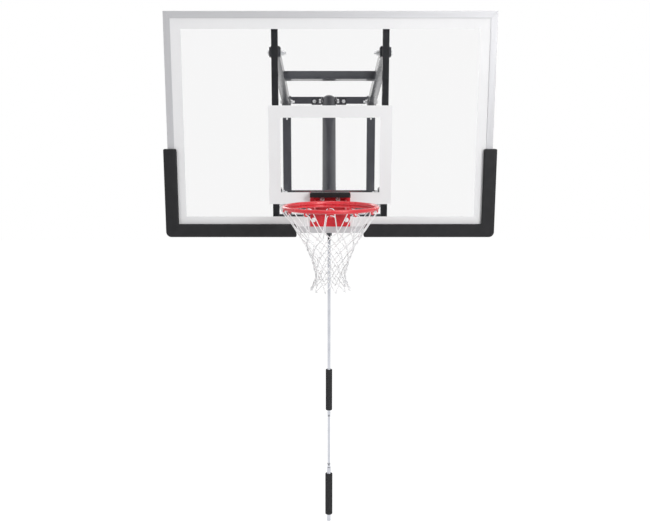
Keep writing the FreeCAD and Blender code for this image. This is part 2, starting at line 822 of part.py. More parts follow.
def rim_mount_plate():
    """Plate on the board's face with two hinge ears."""
    plate = block(("plate_width", "plate_thickness", "plate_above + plate_below"),
                  ("-plate_width / 2", "plate_front", "ring_level - plate_below"))
    pieces = [plate]
    for side in LEFT_RIGHT.values():
        low = "{} * hinge_ear_spacing / 2 - carrier_plate / 2".format(side)
        pieces.append(block(("carrier_plate", "hinge_reach + plate_thickness / 2", "2 * hinge_eye"),
                            (low, "hinge_y", "hinge_level - hinge_eye")))
        pieces.append(rod("hinge_eye", "carrier_plate", (low, "hinge_y", "hinge_level"), "x"))
    length = "hinge_ear_spacing + 2 * carrier_plate"
    pin_hole = rod("hinge_pin / 2", length, ("-({}) / 2".format(length), "hinge_y", "hinge_level"), "x")
    holes = rim_bolt_holes("plate_front - through_cut", "print_front + through_cut")
    return cut(fuse(*pieces), pin_hole, *holes)


def rim_hinge_pin():
    """Pin on which the rim tips when it is pulled down."""
    length = "carrier_spacing + 3 * carrier_plate"
    return rod("hinge_pin / 2", length, ("-({}) / 2".format(length), "hinge_y", "hinge_level"), "x")


def ring():
    """Round ring of bar."""
    hoop = bind(doc.addObject("Part::Torus", "hoop"), Radius1="ring_radius", Radius2="ring_rod / 2")
    return place(hoop, ("0", "ring_y", "ring_level"))


def ring_brace():
    """Second bar under the back of the ring, sunk a little into it where they are welded."""
    arc = bind(doc.addObject("Part::Torus", "brace"), Radius1="ring_radius", Radius2="brace_rod / 2",
               Angle3="brace_arc")
    return place(arc, ("0", "ring_y", "ring_level - brace_drop"), ("90 - brace_arc / 2", 0, 0))


def rim_carrier():
    """Two cheeks with hinge eyes, a web between them and a top plate that meets the ring."""
    back = value("web_back")
    pin_y = value("hinge_y")
    pin_z = value("hinge_level")
    level = value("ring_level")
    eye = value("hinge_eye")
    half_rod = value("ring_rod") / 2
    thickness = value("carrier_plate")
    half_gap = value("carrier_spacing") / 2
    radius = value("ring_radius")
    front = value("ring_y") + math.sqrt(radius ** 2 - (half_gap + thickness) ** 2)
    low = level - value("carrier_drop")
    outline = [(pin_y, pin_z), (pin_y - eye, pin_z), (back, level + half_rod), (front, level + half_rod),
               (front, level - half_rod), (back - 2 * thickness, low), (back, low), (pin_y, level - half_rod)]
    eye_bore = value("hinge_pin") / 2 + value("running_gap")
    along_x = FreeCAD.Vector(1, 0, 0)
    cheeks = []
    for side in LEFT_RIGHT.values():
        x = side * half_gap - thickness / 2
        points = [FreeCAD.Vector(x, y, z) for y, z in outline]
        cheek = Part.Face(Part.makePolygon(points + points[:1])).extrude(along_x * thickness)
        pin = FreeCAD.Vector(x, pin_y, pin_z)
        cheek = cheek.fuse(Part.makeCylinder(eye, thickness, pin, along_x))
        cheeks.append(cheek.cut(Part.makeCylinder(eye_bore, thickness, pin, along_x)))
    web = Part.makeBox(2 * half_gap, thickness, level - half_rod - low,
                       FreeCAD.Vector(-half_gap, back - thickness, low))
    top = Part.makeBox(2 * half_gap, back - front, thickness,
                       FreeCAD.Vector(-half_gap, front, level - thickness / 2))
    shelf = Part.makeBox(2 * half_gap, thickness, half_rod + thickness,
                         FreeCAD.Vector(-half_gap, back - thickness, level - half_rod - thickness / 2))
    inside = Part.makeCylinder(radius, level + half_rod - low, FreeCAD.Vector(0, value("ring_y"), low))
    return solid(cheeks[0].multiFuse([cheeks[1], web, top, shelf]).cut(inside).removeSplitter())


def rim_buffers():
    """Rubber stops between the plate and the web, each with waists."""
    stops = []
    waist = value("buffer_waist")
    radius = value("buffer") / 2
    gap = value("soft_gap")
    start = FreeCAD.Vector(0, value("plate_front") - gap, value("ring_level") - value("buffer_drop"))
    length = value("web_reach") - 2 * gap
    last_ring = 2 * int(value("buffer_waists"))
    step = length / last_ring
    for side in LEFT_RIGHT.values():
        axis = start + FreeCAD.Vector(side * value("buffer_spacing") / 2, 0, 0)
        rings = []
        for number in range(last_ring + 1):
            size = radius - waist if number % 2 else radius
            centre = axis - FreeCAD.Vector(0, number * step, 0)
            rings.append(Part.Wire(Part.makeCircle(size, centre, FreeCAD.Vector(0, -1, 0))))
        stops.append(Part.makeLoft(rings, True, True))
    return solid(Part.makeCompound(stops))


def rim_cover():
    """Hood over the hinge, open below and behind."""
    size = ("plate_width", "cover_reach", "cover_height")
    low = "ring_level + cover_rise"
    shell = block(size, ("-plate_width / 2", "plate_front - cover_reach", low))
    hollow = block(("plate_width - 2 * cover_wall", "cover_reach - cover_wall", "cover_height - cover_wall"),
                   ("-plate_width / 2 + cover_wall", "plate_front - cover_reach + cover_wall", low))
    corners = []
    for side in LEFT_RIGHT.values():
        x_low = "-plate_width / 2" if side < 0 else "plate_width / 2 - cover_corner"
        x_mid = "{} * (plate_width / 2 - cover_corner)".format(side)
        top = low + " + cover_height - cover_corner"
        square = block(("cover_corner", "cover_reach", "cover_corner"),
                       (x_low, "plate_front - cover_reach", top))
        corners.append(cut(square, rod("cover_corner", "cover_reach",
                                       (x_mid, "plate_front - cover_reach", top), "y")))
    return cut(shell, hollow, *corners)


def hook_place(number):
    """Turn of a hook from the front of the ring, and whether it hangs from the brace."""
    turn = number * 360 / value("hook_count")
    on_brace = abs(180 - turn) < value("brace_arc") / 2
    return turn, on_brace


def net_hooks(hoop):
    """Bent-wire loops welded under the ring, and under its brace at the back."""
    wire = value("hook_wire") / 2
    half = value("hook_half_width")
    radius = value("ring_radius")
    centre = FreeCAD.Vector(0, value("ring_y"), value("ring_level"))
    hooks = []
    for number in range(int(value("hook_count"))):
        turn, on_brace = hook_place(number)
        bar = -value("brace_drop") if on_brace else 0
        bend_level = half + wire - value("back_hook_drop" if on_brace else "front_hook_drop")
        legs = [Part.makeCylinder(wire, bar - bend_level, FreeCAD.Vector(side * half, -radius, bend_level))
                for side in LEFT_RIGHT.values()]
        bend = Part.makeTorus(half, wire, FreeCAD.Vector(0, -radius, bend_level), FreeCAD.Vector(0, 1, 0))
        below = Part.makeBox(4 * half, 4 * half, 2 * half,
                             FreeCAD.Vector(-2 * half, -radius - 2 * half, bend_level - 2 * half))
        hook = legs[0].multiFuse([legs[1], bend.common(below)])
        hook.translate(centre)
        hook.rotate(centre, FreeCAD.Vector(0, 0, 1), turn)
        hooks.extend(hook.cut(hoop.Shape).Solids)
    return solid(Part.makeCompound(hooks))


def net_rows():
    """Drop and radius of the hooks, of each row of knots below them and of the hem."""
    top = value("front_hook_drop")
    first = value("net_first_drop")
    neck = value("net_waist_drop")
    hem = value("net_length")
    waist = value("net_waist") / 2
    steps = int(value("net_rows"))
    rows = []
    for drop in [top] + [first + step * (hem - first) / steps for step in range(steps + 1)]:
        if drop < neck:
            swell = ((neck - drop) / (neck - top)) ** value("net_taper") * (value("ring_radius") - waist)
        else:
            swell = ((drop - neck) / (hem - neck)) ** value("net_flare") * (value("net_hem") / 2 - waist)
        rows.append((drop, waist + swell))
    return rows


def net():
    """Cords that zigzag between neighbouring knots, two from each hook."""
    cord = value("net_cord") / 2
    gap = cord + value("soft_gap") / 2
    strands = 2 * int(value("hook_count"))
    sector = 2 * math.pi / strands
    centre = FreeCAD.Vector(0, value("ring_y"), value("ring_level"))
    cords = []
    for strand in range(strands):
        on_brace = hook_place(strand // 2)[1]
        sections = []
        for row, (drop, radius) in enumerate(net_rows()):
            if row == 0 and on_brace:
                drop = value("back_hook_drop")
            far_edge = (strand + row) % 2 == 0
            edge = (strand + far_edge - 1) * sector - math.pi / 2
            inward = -1 if far_edge else 1
            out = FreeCAD.Vector(math.cos(edge), math.sin(edge), 0)
            across = FreeCAD.Vector(-out.y, out.x, 0)
            middle = centre + out * radius + across * (inward * gap) - FreeCAD.Vector(0, 0, drop)
            corners = [middle + out * (a * cord) + across * (b * cord)
                       for a, b in ((-1, -1), (1, -1), (1, 1), (-1, 1))]
            sections.append(Part.makePolygon(corners + corners[:1]))
        cords.append(Part.makeLoft(sections, True, True))
    return solid(Part.makeCompound(cords))


# Wall frame.
for name, side in LEFT_RIGHT.items():
    keep(wall_rail(side), name + "_wall_rail")
keep(wall_crossbar("top_crossbar_level"), "top_wall_crossbar")
keep(wall_crossbar("bottom_crossbar_level"), "bottom_wall_crossbar")
wall_brackets, wall_pivots = pivot_set(
    "wall_pivot_y", (("upper_wall_pivot", "-rail_depth"), ("lower_wall_pivot", "-rail_depth")), 0)
keep(wall_brackets, "wall_brackets")
keep(wall_pivots, "wall_pivot_bolts")
keep(jack_clevis(), "jack_clevis")
keep(clevis_bolts(), "jack_clevis_bolts")
keep(jack_pin(), "jack_pin")

# Arms.
for pair, pivot in (("upper", "upper_wall_pivot"), ("lower", "lower_wall_pivot")):
    for name, side in LEFT_RIGHT.items():
        keep(on_arm(arm(side), pivot), "{}_{}_arm".format(name, pair))
    keep(on_arm(arm_bushes(), pivot), pair + "_arm_bushes")
keep(on_arm(arm_crossbar("upper_crossbar_station"), "upper_wall_pivot"), "upper_arm_crossbar")
keep(on_arm(arm_crossbar("(arm_length - front_crossbar_setback)"), "lower_wall_pivot"),
     "lower_front_crossbar")
keep(on_arm(arm_crossbar("(lift_lever + yoke_reach)"), "lower_wall_pivot"), "lift_crossbar")
keep(on_arm(lift_yoke(), "lower_wall_pivot"), "lift_yoke")

# Jack.
keep(on_jack(tube("jack_tube", "jack_tube - 2 * jack_tube_wall", "jack_tube_end - cap_skirt",
                  ("0", "0", "-jack_tube_end"), "z")), "jack_outer_tube")
keep(on_jack(jack_cap()), "jack_top_cap")
keep(on_jack(jack_gland()), "jack_gland")
keep(on_jack(nut_tube()), "jack_nut_tube")
keep(on_jack(tube("ram_tube", "ram_tube - 2 * ram_wall", "ram_end - ram_start", ("0", "0", "-ram_end"), "z")),
     "ram_tube")
keep(on_jack(ram_guide()), "ram_guide_ring")
keep(on_jack(trunnion_collar()), "trunnion_collar")
keep(on_jack(ram_end_cap()), "ram_end_cap")
keep(on_jack(head_pin()), "crank_head_pin")
keep(on_jack(lead_screw()), "lead_screw")

# Crank.
keep(on_crank(crank_head()), "crank_head")
keep(on_crank(crank_pole()), "crank_pole")
keep(on_crank(fold_pin("-pole_length")), "upper_fold_pin")
keep(on_crank(grip("grip", "pole", "grip_length", "grip_start")), "upper_grip")
keep(on_crank(crank_link()), "crank_link")
keep(on_crank(crank_handle()), "crank_handle")
keep(on_crank(fold_pin("-(pole_length + crank_link_length)")), "lower_fold_pin")
keep(on_crank(grip("handle_grip", "handle_rod", "handle_grip_length", "handle_grip_top")), "lower_grip")

# Board.
keep(glass_pane(), "glass_pane")
keep(frame_member("board_width", ("0", "board_front", "board_top"), 0), "frame_top")
keep(frame_member("board_width", ("0", "board_front", "board_bottom"), 180), "frame_bottom")
keep(frame_member("board_height", ("-board_width / 2", "board_front", "board_middle"), -90), "frame_left")
keep(frame_member("board_height", ("board_width / 2", "board_front", "board_middle"), 90), "frame_right")
keep(board_print(), "board_print")
for name, side in LEFT_RIGHT.items():
    keep(upright(side), name + "_upright")
board_brackets, board_pivots = pivot_set(
    "board_pivot_y", (("upper_board_pivot", "upright_back"), ("lower_board_pivot", "upright_back")), 180)
keep(board_brackets, "board_brackets")
keep(board_pivots, "board_pivot_bolts")
keep(rim_support_bar(), "rim_support_bar")
keep(rear_rim_plate(), "rear_rim_plate")
for name, side in LEFT_RIGHT.items():
    keep(edge_pad(side), name + "_edge_pad")

# Rim.
keep(rim_mount_plate(), "rim_mount_plate")
keep(rim_bolts(), "rim_plate_bolts")
keep(rim_hinge_pin(), "rim_hinge_pin")
keep(rim_cover(), "rim_cover")
keep(rim_buffers(), "rim_buffers")
keep(cut(rim_carrier(), ring(), ring_brace()), "rim_carrier")
rim_ring = keep(fuse(ring(), ring_brace()), "rim_ring")
doc.recompute()
keep(net_hooks(rim_ring), "net_hooks")
keep(net(), "net")

doc.recompute()
for piece in doc.Objects:
    if "Invalid" in piece.State or "Error" in piece.State:
        raise RuntimeError("failed: {} {}".format(piece.Label, piece.State))
for piece in nodes:
    if piece.Shape.isNull() or not piece.Shape.isValid() or not piece.Shape.Solids:
        raise RuntimeError("bad shape: " + piece.Label)

os.makedirs("parts", exist_ok=True)
for piece in nodes:
    piece.Shape.exportStep(os.path.join("parts", piece.Label + ".step"))
    print(piece.Label, len(piece.Shape.Solids), round(piece.Shape.Volume))
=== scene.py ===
import json
import math

import bmesh
import bpy
from mathutils import Matrix, Vector
from mathutils.geometry import interpolate_bezier

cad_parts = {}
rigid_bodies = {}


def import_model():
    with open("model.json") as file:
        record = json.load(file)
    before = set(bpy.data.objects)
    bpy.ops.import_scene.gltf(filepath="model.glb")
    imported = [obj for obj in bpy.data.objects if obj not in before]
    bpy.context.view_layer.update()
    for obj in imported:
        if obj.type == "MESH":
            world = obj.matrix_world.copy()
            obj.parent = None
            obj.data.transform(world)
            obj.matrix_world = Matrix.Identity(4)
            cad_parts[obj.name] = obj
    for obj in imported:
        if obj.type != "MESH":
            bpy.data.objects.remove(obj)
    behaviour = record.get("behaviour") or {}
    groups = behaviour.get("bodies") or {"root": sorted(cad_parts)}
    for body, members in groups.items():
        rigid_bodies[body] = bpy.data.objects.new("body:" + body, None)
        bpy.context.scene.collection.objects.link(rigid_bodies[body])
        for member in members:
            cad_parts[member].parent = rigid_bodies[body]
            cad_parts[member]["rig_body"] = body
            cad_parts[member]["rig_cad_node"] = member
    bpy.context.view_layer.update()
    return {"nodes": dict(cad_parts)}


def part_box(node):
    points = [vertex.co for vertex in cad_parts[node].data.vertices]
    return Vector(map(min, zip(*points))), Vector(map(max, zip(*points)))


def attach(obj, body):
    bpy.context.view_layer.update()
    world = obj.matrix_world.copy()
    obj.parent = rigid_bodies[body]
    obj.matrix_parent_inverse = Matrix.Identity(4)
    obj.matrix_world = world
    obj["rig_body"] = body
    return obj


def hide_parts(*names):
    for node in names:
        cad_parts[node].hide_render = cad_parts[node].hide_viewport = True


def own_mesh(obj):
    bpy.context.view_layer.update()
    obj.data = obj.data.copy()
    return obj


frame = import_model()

bl_info = {
    "name": "Wall basketball goal",
    "version": (1, 0, 0),
    "blender": (4, 5, 0),
    "location": "3D View > Sidebar > Goal",
    "description": "Finishes and soft parts of a wall-mounted basketball goal with a height crank",
    "category": "Object",
}

NODES = frame["nodes"]
SIDES = {"left": -1, "right": 1}
UP = Vector((0, 0, 1))
FORWARD = Vector((0, -1, 0))
ACROSS = Vector((1, 0, 0))

# Seams to close in new pieces and in the CAD's meshes.
SEAM = 0.00002
CAD_SEAM = 0.00001
# Bends that count as flat and as sharp, and the part of a normal along an axis that faces that way.
FLAT = math.radians(1)
SHARP = math.radians(40)
FACING = 0.99

# Sizes shared with the CAD, in metres and radians. A section is given as width and depth.
RING_LOW, RING_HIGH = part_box("rim_ring")
RING_ROD = 0.020
RING_RADIUS = (RING_HIGH.x - RING_LOW.x - RING_ROD) / 2
RING_CENTRE = Vector((0, RING_LOW.y + RING_ROD / 2 + RING_RADIUS, RING_HIGH.z - RING_ROD / 2))
RING_ABOVE_FLOOR = 3.05
ARM_LENGTH = 1.170
ARM_OVERHANG = 0.028
ARM_TILT = math.radians(11)
ALONG_ARM = Vector((0, -math.cos(ARM_TILT), math.sin(ARM_TILT)))
ARM_SECTION = (0.050, 0.060)
RAIL_SECTION = (0.060, 0.040)
UPRIGHT_SECTION = (0.036, 0.036)
RAIL_HALF = 0.305
JACK_LEAN = math.radians(17.753)
BOLT_RADIUS = 0.012
RIM_BOLT_RADIUS = 0.0137
GRIP_BORES = {"upper_grip": 0.0112, "lower_grip": 0.0142}


def node_middle(node):
    """Middle of a CAD node's box."""
    low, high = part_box(node)
    return (low + high) / 2


class GoalColours(bpy.types.PropertyGroup):
    """Colours of the goal's finishes."""

    steel_paint: bpy.props.FloatVectorProperty(
        name="Steel paint", description="Powder coat on the wall frame, arms and jack",
        subtype="COLOR", size=3, min=0, max=1, default=(0.060, 0.061, 0.072))
    rim_red: bpy.props.FloatVectorProperty(
        name="Rim red", description="Enamel on the rim and its plate",
        subtype="COLOR", size=3, min=0, max=1, default=(0.74, 0.020, 0.034))
    pad_black: bpy.props.FloatVectorProperty(
        name="Pad", description="Skin of the edge pads",
        subtype="COLOR", size=3, min=0, max=1, default=(0.026, 0.026, 0.028))
    frame_silver: bpy.props.FloatVectorProperty(
        name="Frame", description="Anodised board frame",
        subtype="COLOR", size=3, min=0, max=1, default=(0.60, 0.60, 0.62))
    print_white: bpy.props.FloatVectorProperty(
        name="Print", description="Border and target printed on the glass",
        subtype="COLOR", size=3, min=0, max=1, default=(0.80, 0.80, 0.81))
    net_white: bpy.props.FloatVectorProperty(
        name="Net", description="Net cord",
        subtype="COLOR", size=3, min=0, max=1, default=(0.93, 0.93, 0.94))
    grip_black: bpy.props.FloatVectorProperty(
        name="Grip", description="Foam of the crank grips",
        subtype="COLOR", size=3, min=0, max=1, default=(0.046, 0.046, 0.048))


class GoalSizes(bpy.types.PropertyGroup):
    """Sizes of the goal's soft parts and small parts."""

    net_cord: bpy.props.FloatProperty(
        name="Net cord", description="Diameter of the net's cord",
        unit="LENGTH", min=0.002, default=0.005)
    pad_edge: bpy.props.FloatProperty(
        name="Pad edge", description="Radius of the pads' soft edges",
        unit="LENGTH", min=0.001, default=0.008)
    grip_edge: bpy.props.FloatProperty(
        name="Grip edge", description="Radius of the grips' ends",
        unit="LENGTH", min=0.001, default=0.0035)
    edge_break: bpy.props.FloatProperty(
        name="Edge break", description="Width of the small bevel on the flat-sided parts",
        unit="LENGTH", min=0.0, default=0.0012)
    weld_bead: bpy.props.FloatProperty(
        name="Weld bead", description="Thickness of the welds",
        unit="LENGTH", min=0.001, default=0.0055)
    plug_lip: bpy.props.FloatProperty(
        name="Plug lip", description="How far a tube plug stands out",
        unit="LENGTH", min=0.001, default=0.003)


class GoalStage(bpy.types.PropertyGroup):
    """Light and floor round the goal."""

    floor_level: bpy.props.FloatProperty(
        name="Floor level", description="Height of the floor, from the middle of the wall pattern",
        unit="LENGTH", default=RING_CENTRE.z - RING_ABOVE_FLOOR)
    key_power: bpy.props.FloatProperty(
        name="Key light", description="Power of the large lamp in front",
        unit="POWER", min=0, default=236)
    fill_strength: bpy.props.FloatProperty(
        name="Surroundings", description="Strength of the even light from all sides",
        min=0, default=0.45)
    front_dim: bpy.props.FloatProperty(
        name="Front", description="How bright gloss finds the room straight in front",
        min=0, default=0.08)


# Selecting and placing.

def deselect():
    """Leaves edit mode and selects nothing."""
    if bpy.context.object is not None and bpy.context.object.mode != "OBJECT":
        bpy.ops.object.mode_set(mode="OBJECT")
    bpy.ops.object.select_all(action="DESELECT")


def pick(*pieces):
    """Selects these pieces only; the first is active."""
    deselect()
    for piece in pieces:
        piece.select_set(True)
    bpy.context.view_layer.objects.active = pieces[0]


def edit(piece):
    """Opens a piece in edit mode with everything selected."""
    pick(piece)
    bpy.ops.object.mode_set(mode="EDIT")
    bpy.ops.mesh.select_mode(type="VERT")
    bpy.ops.mesh.select_all(action="SELECT")


def select_where(piece, kind, test):
    """Selects the faces or edges of the piece in edit mode that pass a test."""
    bpy.ops.mesh.select_mode(type=kind)
    bpy.ops.mesh.select_all(action="DESELECT")
    mesh = bmesh.from_edit_mesh(piece.data)
    for part in mesh.faces if kind == "FACE" else mesh.edges:
        part.select_set(test(part))
    bmesh.update_edit_mesh(piece.data)


def named(name):
    """Gives the active object its name."""
    piece = bpy.context.object
    piece.name = name
    piece.data.name = name
    return piece


def settle(piece, smooth=30):
    """Puts a piece's place into its mesh, closes its seams and points its faces outwards."""
    pick(piece)
    bpy.ops.object.transform_apply(location=True, rotation=True, scale=True)
    edit(piece)
    bpy.ops.mesh.remove_doubles(threshold=SEAM)
    bpy.ops.mesh.normals_make_consistent(inside=False)
    bpy.ops.object.mode_set(mode="OBJECT")
    bpy.ops.object.shade_smooth_by_angle(angle=math.radians(smooth))
    return piece


def dress(piece, material, body, slot, *stands_for):
    """Gives a new piece its finish, the body it rides on and the CAD nodes it stands for."""
    piece.data.materials.clear()
    piece.data.materials.append(material)
    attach(piece, body)
    if stands_for:
        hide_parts(*stands_for)


def merged_copy(node, name):
    """A copy of a CAD node's mesh with its triangles joined into whole faces."""
    piece = NODES[node].copy()
    piece.data = NODES[node].data.copy()
    piece.parent = None
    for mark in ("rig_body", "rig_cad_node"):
        del piece[mark]
    bpy.context.scene.collection.objects.link(piece)
    edit(piece)
    named(name)
    bpy.ops.mesh.remove_doubles(threshold=CAD_SEAM)
    bpy.ops.mesh.dissolve_limited(angle_limit=FLAT)
    bpy.ops.object.mode_set(mode="OBJECT")
    return piece


def turned(name, profile, sides, spot, aim=UP):
    """A round piece made ring by ring from (radius, height) pairs along an axis from a spot."""
    deselect()
    radius, height = profile[0]
    bpy.ops.mesh.primitive_circle_add(vertices=sides, radius=radius, location=(0, 0, height))
    piece = named(name)
    edit(piece)
    for next_radius, next_height in profile[1:]:
        bpy.ops.mesh.extrude_region_move(TRANSFORM_OT_translate={"value": (0, 0, next_height - height)})
        grow = next_radius / radius
        bpy.ops.transform.resize(value=(grow, grow, 1), center_override=(0, 0, next_height))
        radius, height = next_radius, next_height
    bpy.ops.object.mode_set(mode="OBJECT")
    bpy.ops.object.transform_apply(location=True, rotation=True, scale=True)
    piece.rotation_euler = UP.rotation_difference(aim).to_euler()
    piece.location = spot
    return settle(piece)


def cord_curve(name, thickness, roundness):
    """A curve without lines whose section is round."""
    deselect()
    bpy.ops.curve.primitive_bezier_curve_add(location=(0, 0, 0))
    piece = named(name)
    piece.data.splines.clear()
    piece.data.dimensions = "3D"
    piece.data.bevel_depth = thickness / 2
    piece.data.bevel_resolution = roundness
    return piece


def add_line(piece, line, shares, closed=False):
    """Adds a line of points to a curve, each with its share of the thickness."""
    spline = piece.data.splines.new("POLY")
    spline.points.add(len(line) - 1)
    spline.use_cyclic_u = closed
    for spot, place, share in zip(spline.points, line, shares):
        spot.co = (*place, 1)
        spot.radius = share


def curve_to_mesh(piece, smooth):
    """Makes a curve into a finished mesh."""
    pick(piece)
    bpy.ops.object.convert(target="MESH")
    return settle(bpy.context.object, smooth)


# Shader nodes that several finishes share.

# The part of a noise texture's range that a drift between two values spreads over.
DRIFT_LOW, DRIFT_HIGH = 0.35, 0.65
RELIEF_DEPTH = 0.001
WHITE = (1, 1, 1, 1)


def set_sockets(node, **values):
    """Sets a node's sockets by their names, written with _ for a space."""
    for label, value in values.items():
        node.inputs[label.replace("_", " ")].default_value = value


def new_group(name, inputs, outputs):
    """An empty shader node group with its sockets; returns the group, its inlet and its outlet."""
    group = bpy.data.node_groups.new(name, "ShaderNodeTree")
    for label, kind in inputs:
        group.interface.new_socket(label, in_out="INPUT", socket_type="NodeSocket" + kind)
    for label, kind in outputs:
        group.interface.new_socket(label, in_out="OUTPUT", socket_type="NodeSocket" + kind)
    return group, group.nodes.new("NodeGroupInput"), group.nodes.new("NodeGroupOutput")


def noise_node(tree, vector, scale, detail):
    """A noise texture fed by two sockets."""
    node = tree.nodes.new("ShaderNodeTexNoise")
    set_sockets(node, Detail=detail)
    tree.links.new(vector, node.inputs["Vector"])
    tree.links.new(scale, node.inputs["Scale"])
    return node


def mix_shaders(tree, share, first, second):
    """A blend of two shader nodes by a socket."""
    blend = tree.nodes.new("ShaderNodeMixShader")
    tree.links.new(share, blend.inputs["Fac"])
    tree.links.new(first.outputs[0], blend.inputs[1])
    tree.links.new(second.outputs[0], blend.inputs[2])
    return blend


def either(tree, first, second):
    """The larger of two sockets."""
    node = tree.nodes.new("ShaderNodeMath")
    node.operation = "MAXIMUM"
    tree.links.new(first, node.inputs[0])
    tree.links.new(second, node.inputs[1])
    return node.outputs[0]


def uneven_group():
    """Slow drift between two colours and between two roughnesses."""
    group, inlet, outlet = new_group(
        "uneven_finish",
        [("Vector", "Vector"), ("Scale", "Float"), ("Colour", "Color"), ("Shade", "Color"),
         ("Gloss", "Float"), ("Matt", "Float")],
        [("Colour", "Color"), ("Roughness", "Float")])
    link = group.links.new
    drift = noise_node(group, inlet.outputs["Vector"], inlet.outputs["Scale"], detail=4)
    spread = group.nodes.new("ShaderNodeMapRange")
    set_sockets(spread, From_Min=DRIFT_LOW, From_Max=DRIFT_HIGH)
    link(drift.outputs["Fac"], spread.inputs["Value"])
    blend = group.nodes.new("ShaderNodeMix")
    blend.data_type = "RGBA"
    link(spread.outputs["Result"], blend.inputs["Factor"])
    link(inlet.outputs["Colour"], blend.inputs["A"])
    link(inlet.outputs["Shade"], blend.inputs["B"])
    gloss = group.nodes.new("ShaderNodeMix")
    link(spread.outputs["Result"], gloss.inputs["Factor"])
    link(inlet.outputs["Gloss"], gloss.inputs["A"])
    link(inlet.outputs["Matt"], gloss.inputs["B"])
    link(blend.outputs["Result"], outlet.inputs["Colour"])
    link(gloss.outputs["Result"], outlet.inputs["Roughness"])
    return group


def grain_group():
    """Fine relief of a coated or moulded surface: a pebble pattern over soft waves."""
    group, inlet, outlet = new_group(
        "fine_grain",
        [("Vector", "Vector"), ("Scale", "Float"), ("Pebble", "Float")],
        [("Height", "Float")])
    link = group.links.new
    waves = noise_node(group, inlet.outputs["Vector"], inlet.outputs["Scale"], detail=2)
    pebble = group.nodes.new("ShaderNodeTexVoronoi")
    link(inlet.outputs["Vector"], pebble.inputs["Vector"])
    link(inlet.outputs["Scale"], pebble.inputs["Scale"])
    blend = group.nodes.new("ShaderNodeMix")
    link(inlet.outputs["Pebble"], blend.inputs["Factor"])
    link(waves.outputs["Fac"], blend.inputs["A"])
    link(pebble.outputs["Distance"], blend.inputs["B"])
    link(blend.outputs["Result"], outlet.inputs["Height"])
    return group


GROUPS = {}


def shared(group):
    """Builds a shared node group once."""
    if group not in GROUPS:
        GROUPS[group] = group()
    return GROUPS[group]


def relief(tree, shader, vector, scale, pebble, strength, depth):
    """Gives a shader a fine bump."""
    fine = tree.nodes.new("ShaderNodeGroup")
    fine.node_tree = shared(grain_group)
    set_sockets(fine, Scale=scale, Pebble=pebble)
    bump = tree.nodes.new("ShaderNodeBump")
    set_sockets(bump, Strength=strength, Distance=depth)
    tree.links.new(vector, fine.inputs["Vector"])
    tree.links.new(fine.outputs["Height"], bump.inputs["Height"])
    tree.links.new(bump.outputs["Normal"], shader.inputs["Normal"])


# Finishes.

def new_material(name):
    """A material; returns it, its node tree and its shader."""
    material = bpy.data.materials.new(name)
    material.use_nodes = True
    return material, material.node_tree, material.node_tree.nodes["Principled BSDF"]


def finish(name, colour, shade, gloss, matt, drift, grain, pebble, strength, stretch=(1, 1, 1),
           **sockets):
    """A procedural finish: drifting colour and roughness with a fine relief, on Object coordinates."""
    material, tree, shader = new_material(name)
    place = tree.nodes.new("ShaderNodeTexCoord")
    mapping = tree.nodes.new("ShaderNodeMapping")
    set_sockets(mapping, Scale=stretch)
    tree.links.new(place.outputs["Object"], mapping.inputs["Vector"])
    uneven = tree.nodes.new("ShaderNodeGroup")
    uneven.node_tree = shared(uneven_group)
    set_sockets(uneven, Scale=drift, Colour=(*colour, 1), Shade=(*shade, 1), Gloss=gloss, Matt=matt)
    tree.links.new(mapping.outputs["Vector"], uneven.inputs["Vector"])
    tree.links.new(uneven.outputs["Colour"], shader.inputs["Base Color"])
    tree.links.new(uneven.outputs["Roughness"], shader.inputs["Roughness"])
    relief(tree, shader, mapping.outputs["Vector"], grain, pebble, strength, RELIEF_DEPTH)
    set_sockets(shader, **sockets)
    return material


def toned(colour, share):
    """A colour times a share, darker below one and lighter above it."""
    return tuple(part * share for part in colour)


def paint(name, colour, shade, coat_roughness, coat_index):
    """Powder coat with a clear layer over it."""
    return finish(name, colour, shade, 0.36, 0.46, 9, 700, 0.3, 0.12, Specular_IOR_Level=0.1,
                  Coat_Weight=1.0, Coat_Roughness=coat_roughness, Coat_IOR=coat_index)


def glass():
    """Tempered glass that lets lamp light through to what stands behind it."""
    material, tree, shader = new_material("tempered_glass")
    set_sockets(shader, Base_Color=(0.995, 0.995, 0.996, 1), Roughness=0.0, IOR=1.5,
                Specular_IOR_Level=0.1, Transmission_Weight=1.0)
    place = tree.nodes.new("ShaderNodeTexCoord")
    relief(tree, shader, place.outputs["Object"],
           scale=3.0, pebble=0.0, strength=0.02, depth=RELIEF_DEPTH / 2)
    clear = tree.nodes.new("ShaderNodeBsdfTransparent")
    set_sockets(clear, Color=(0.95, 0.96, 0.96, 1))
    path = tree.nodes.new("ShaderNodeLightPath")
    through = either(tree, path.outputs["Is Shadow Ray"], path.outputs["Is Diffuse Ray"])
    blend = mix_shaders(tree, through, shader, clear)
    tree.links.new(blend.outputs[0], tree.nodes["Material Output"].inputs["Surface"])
    return material


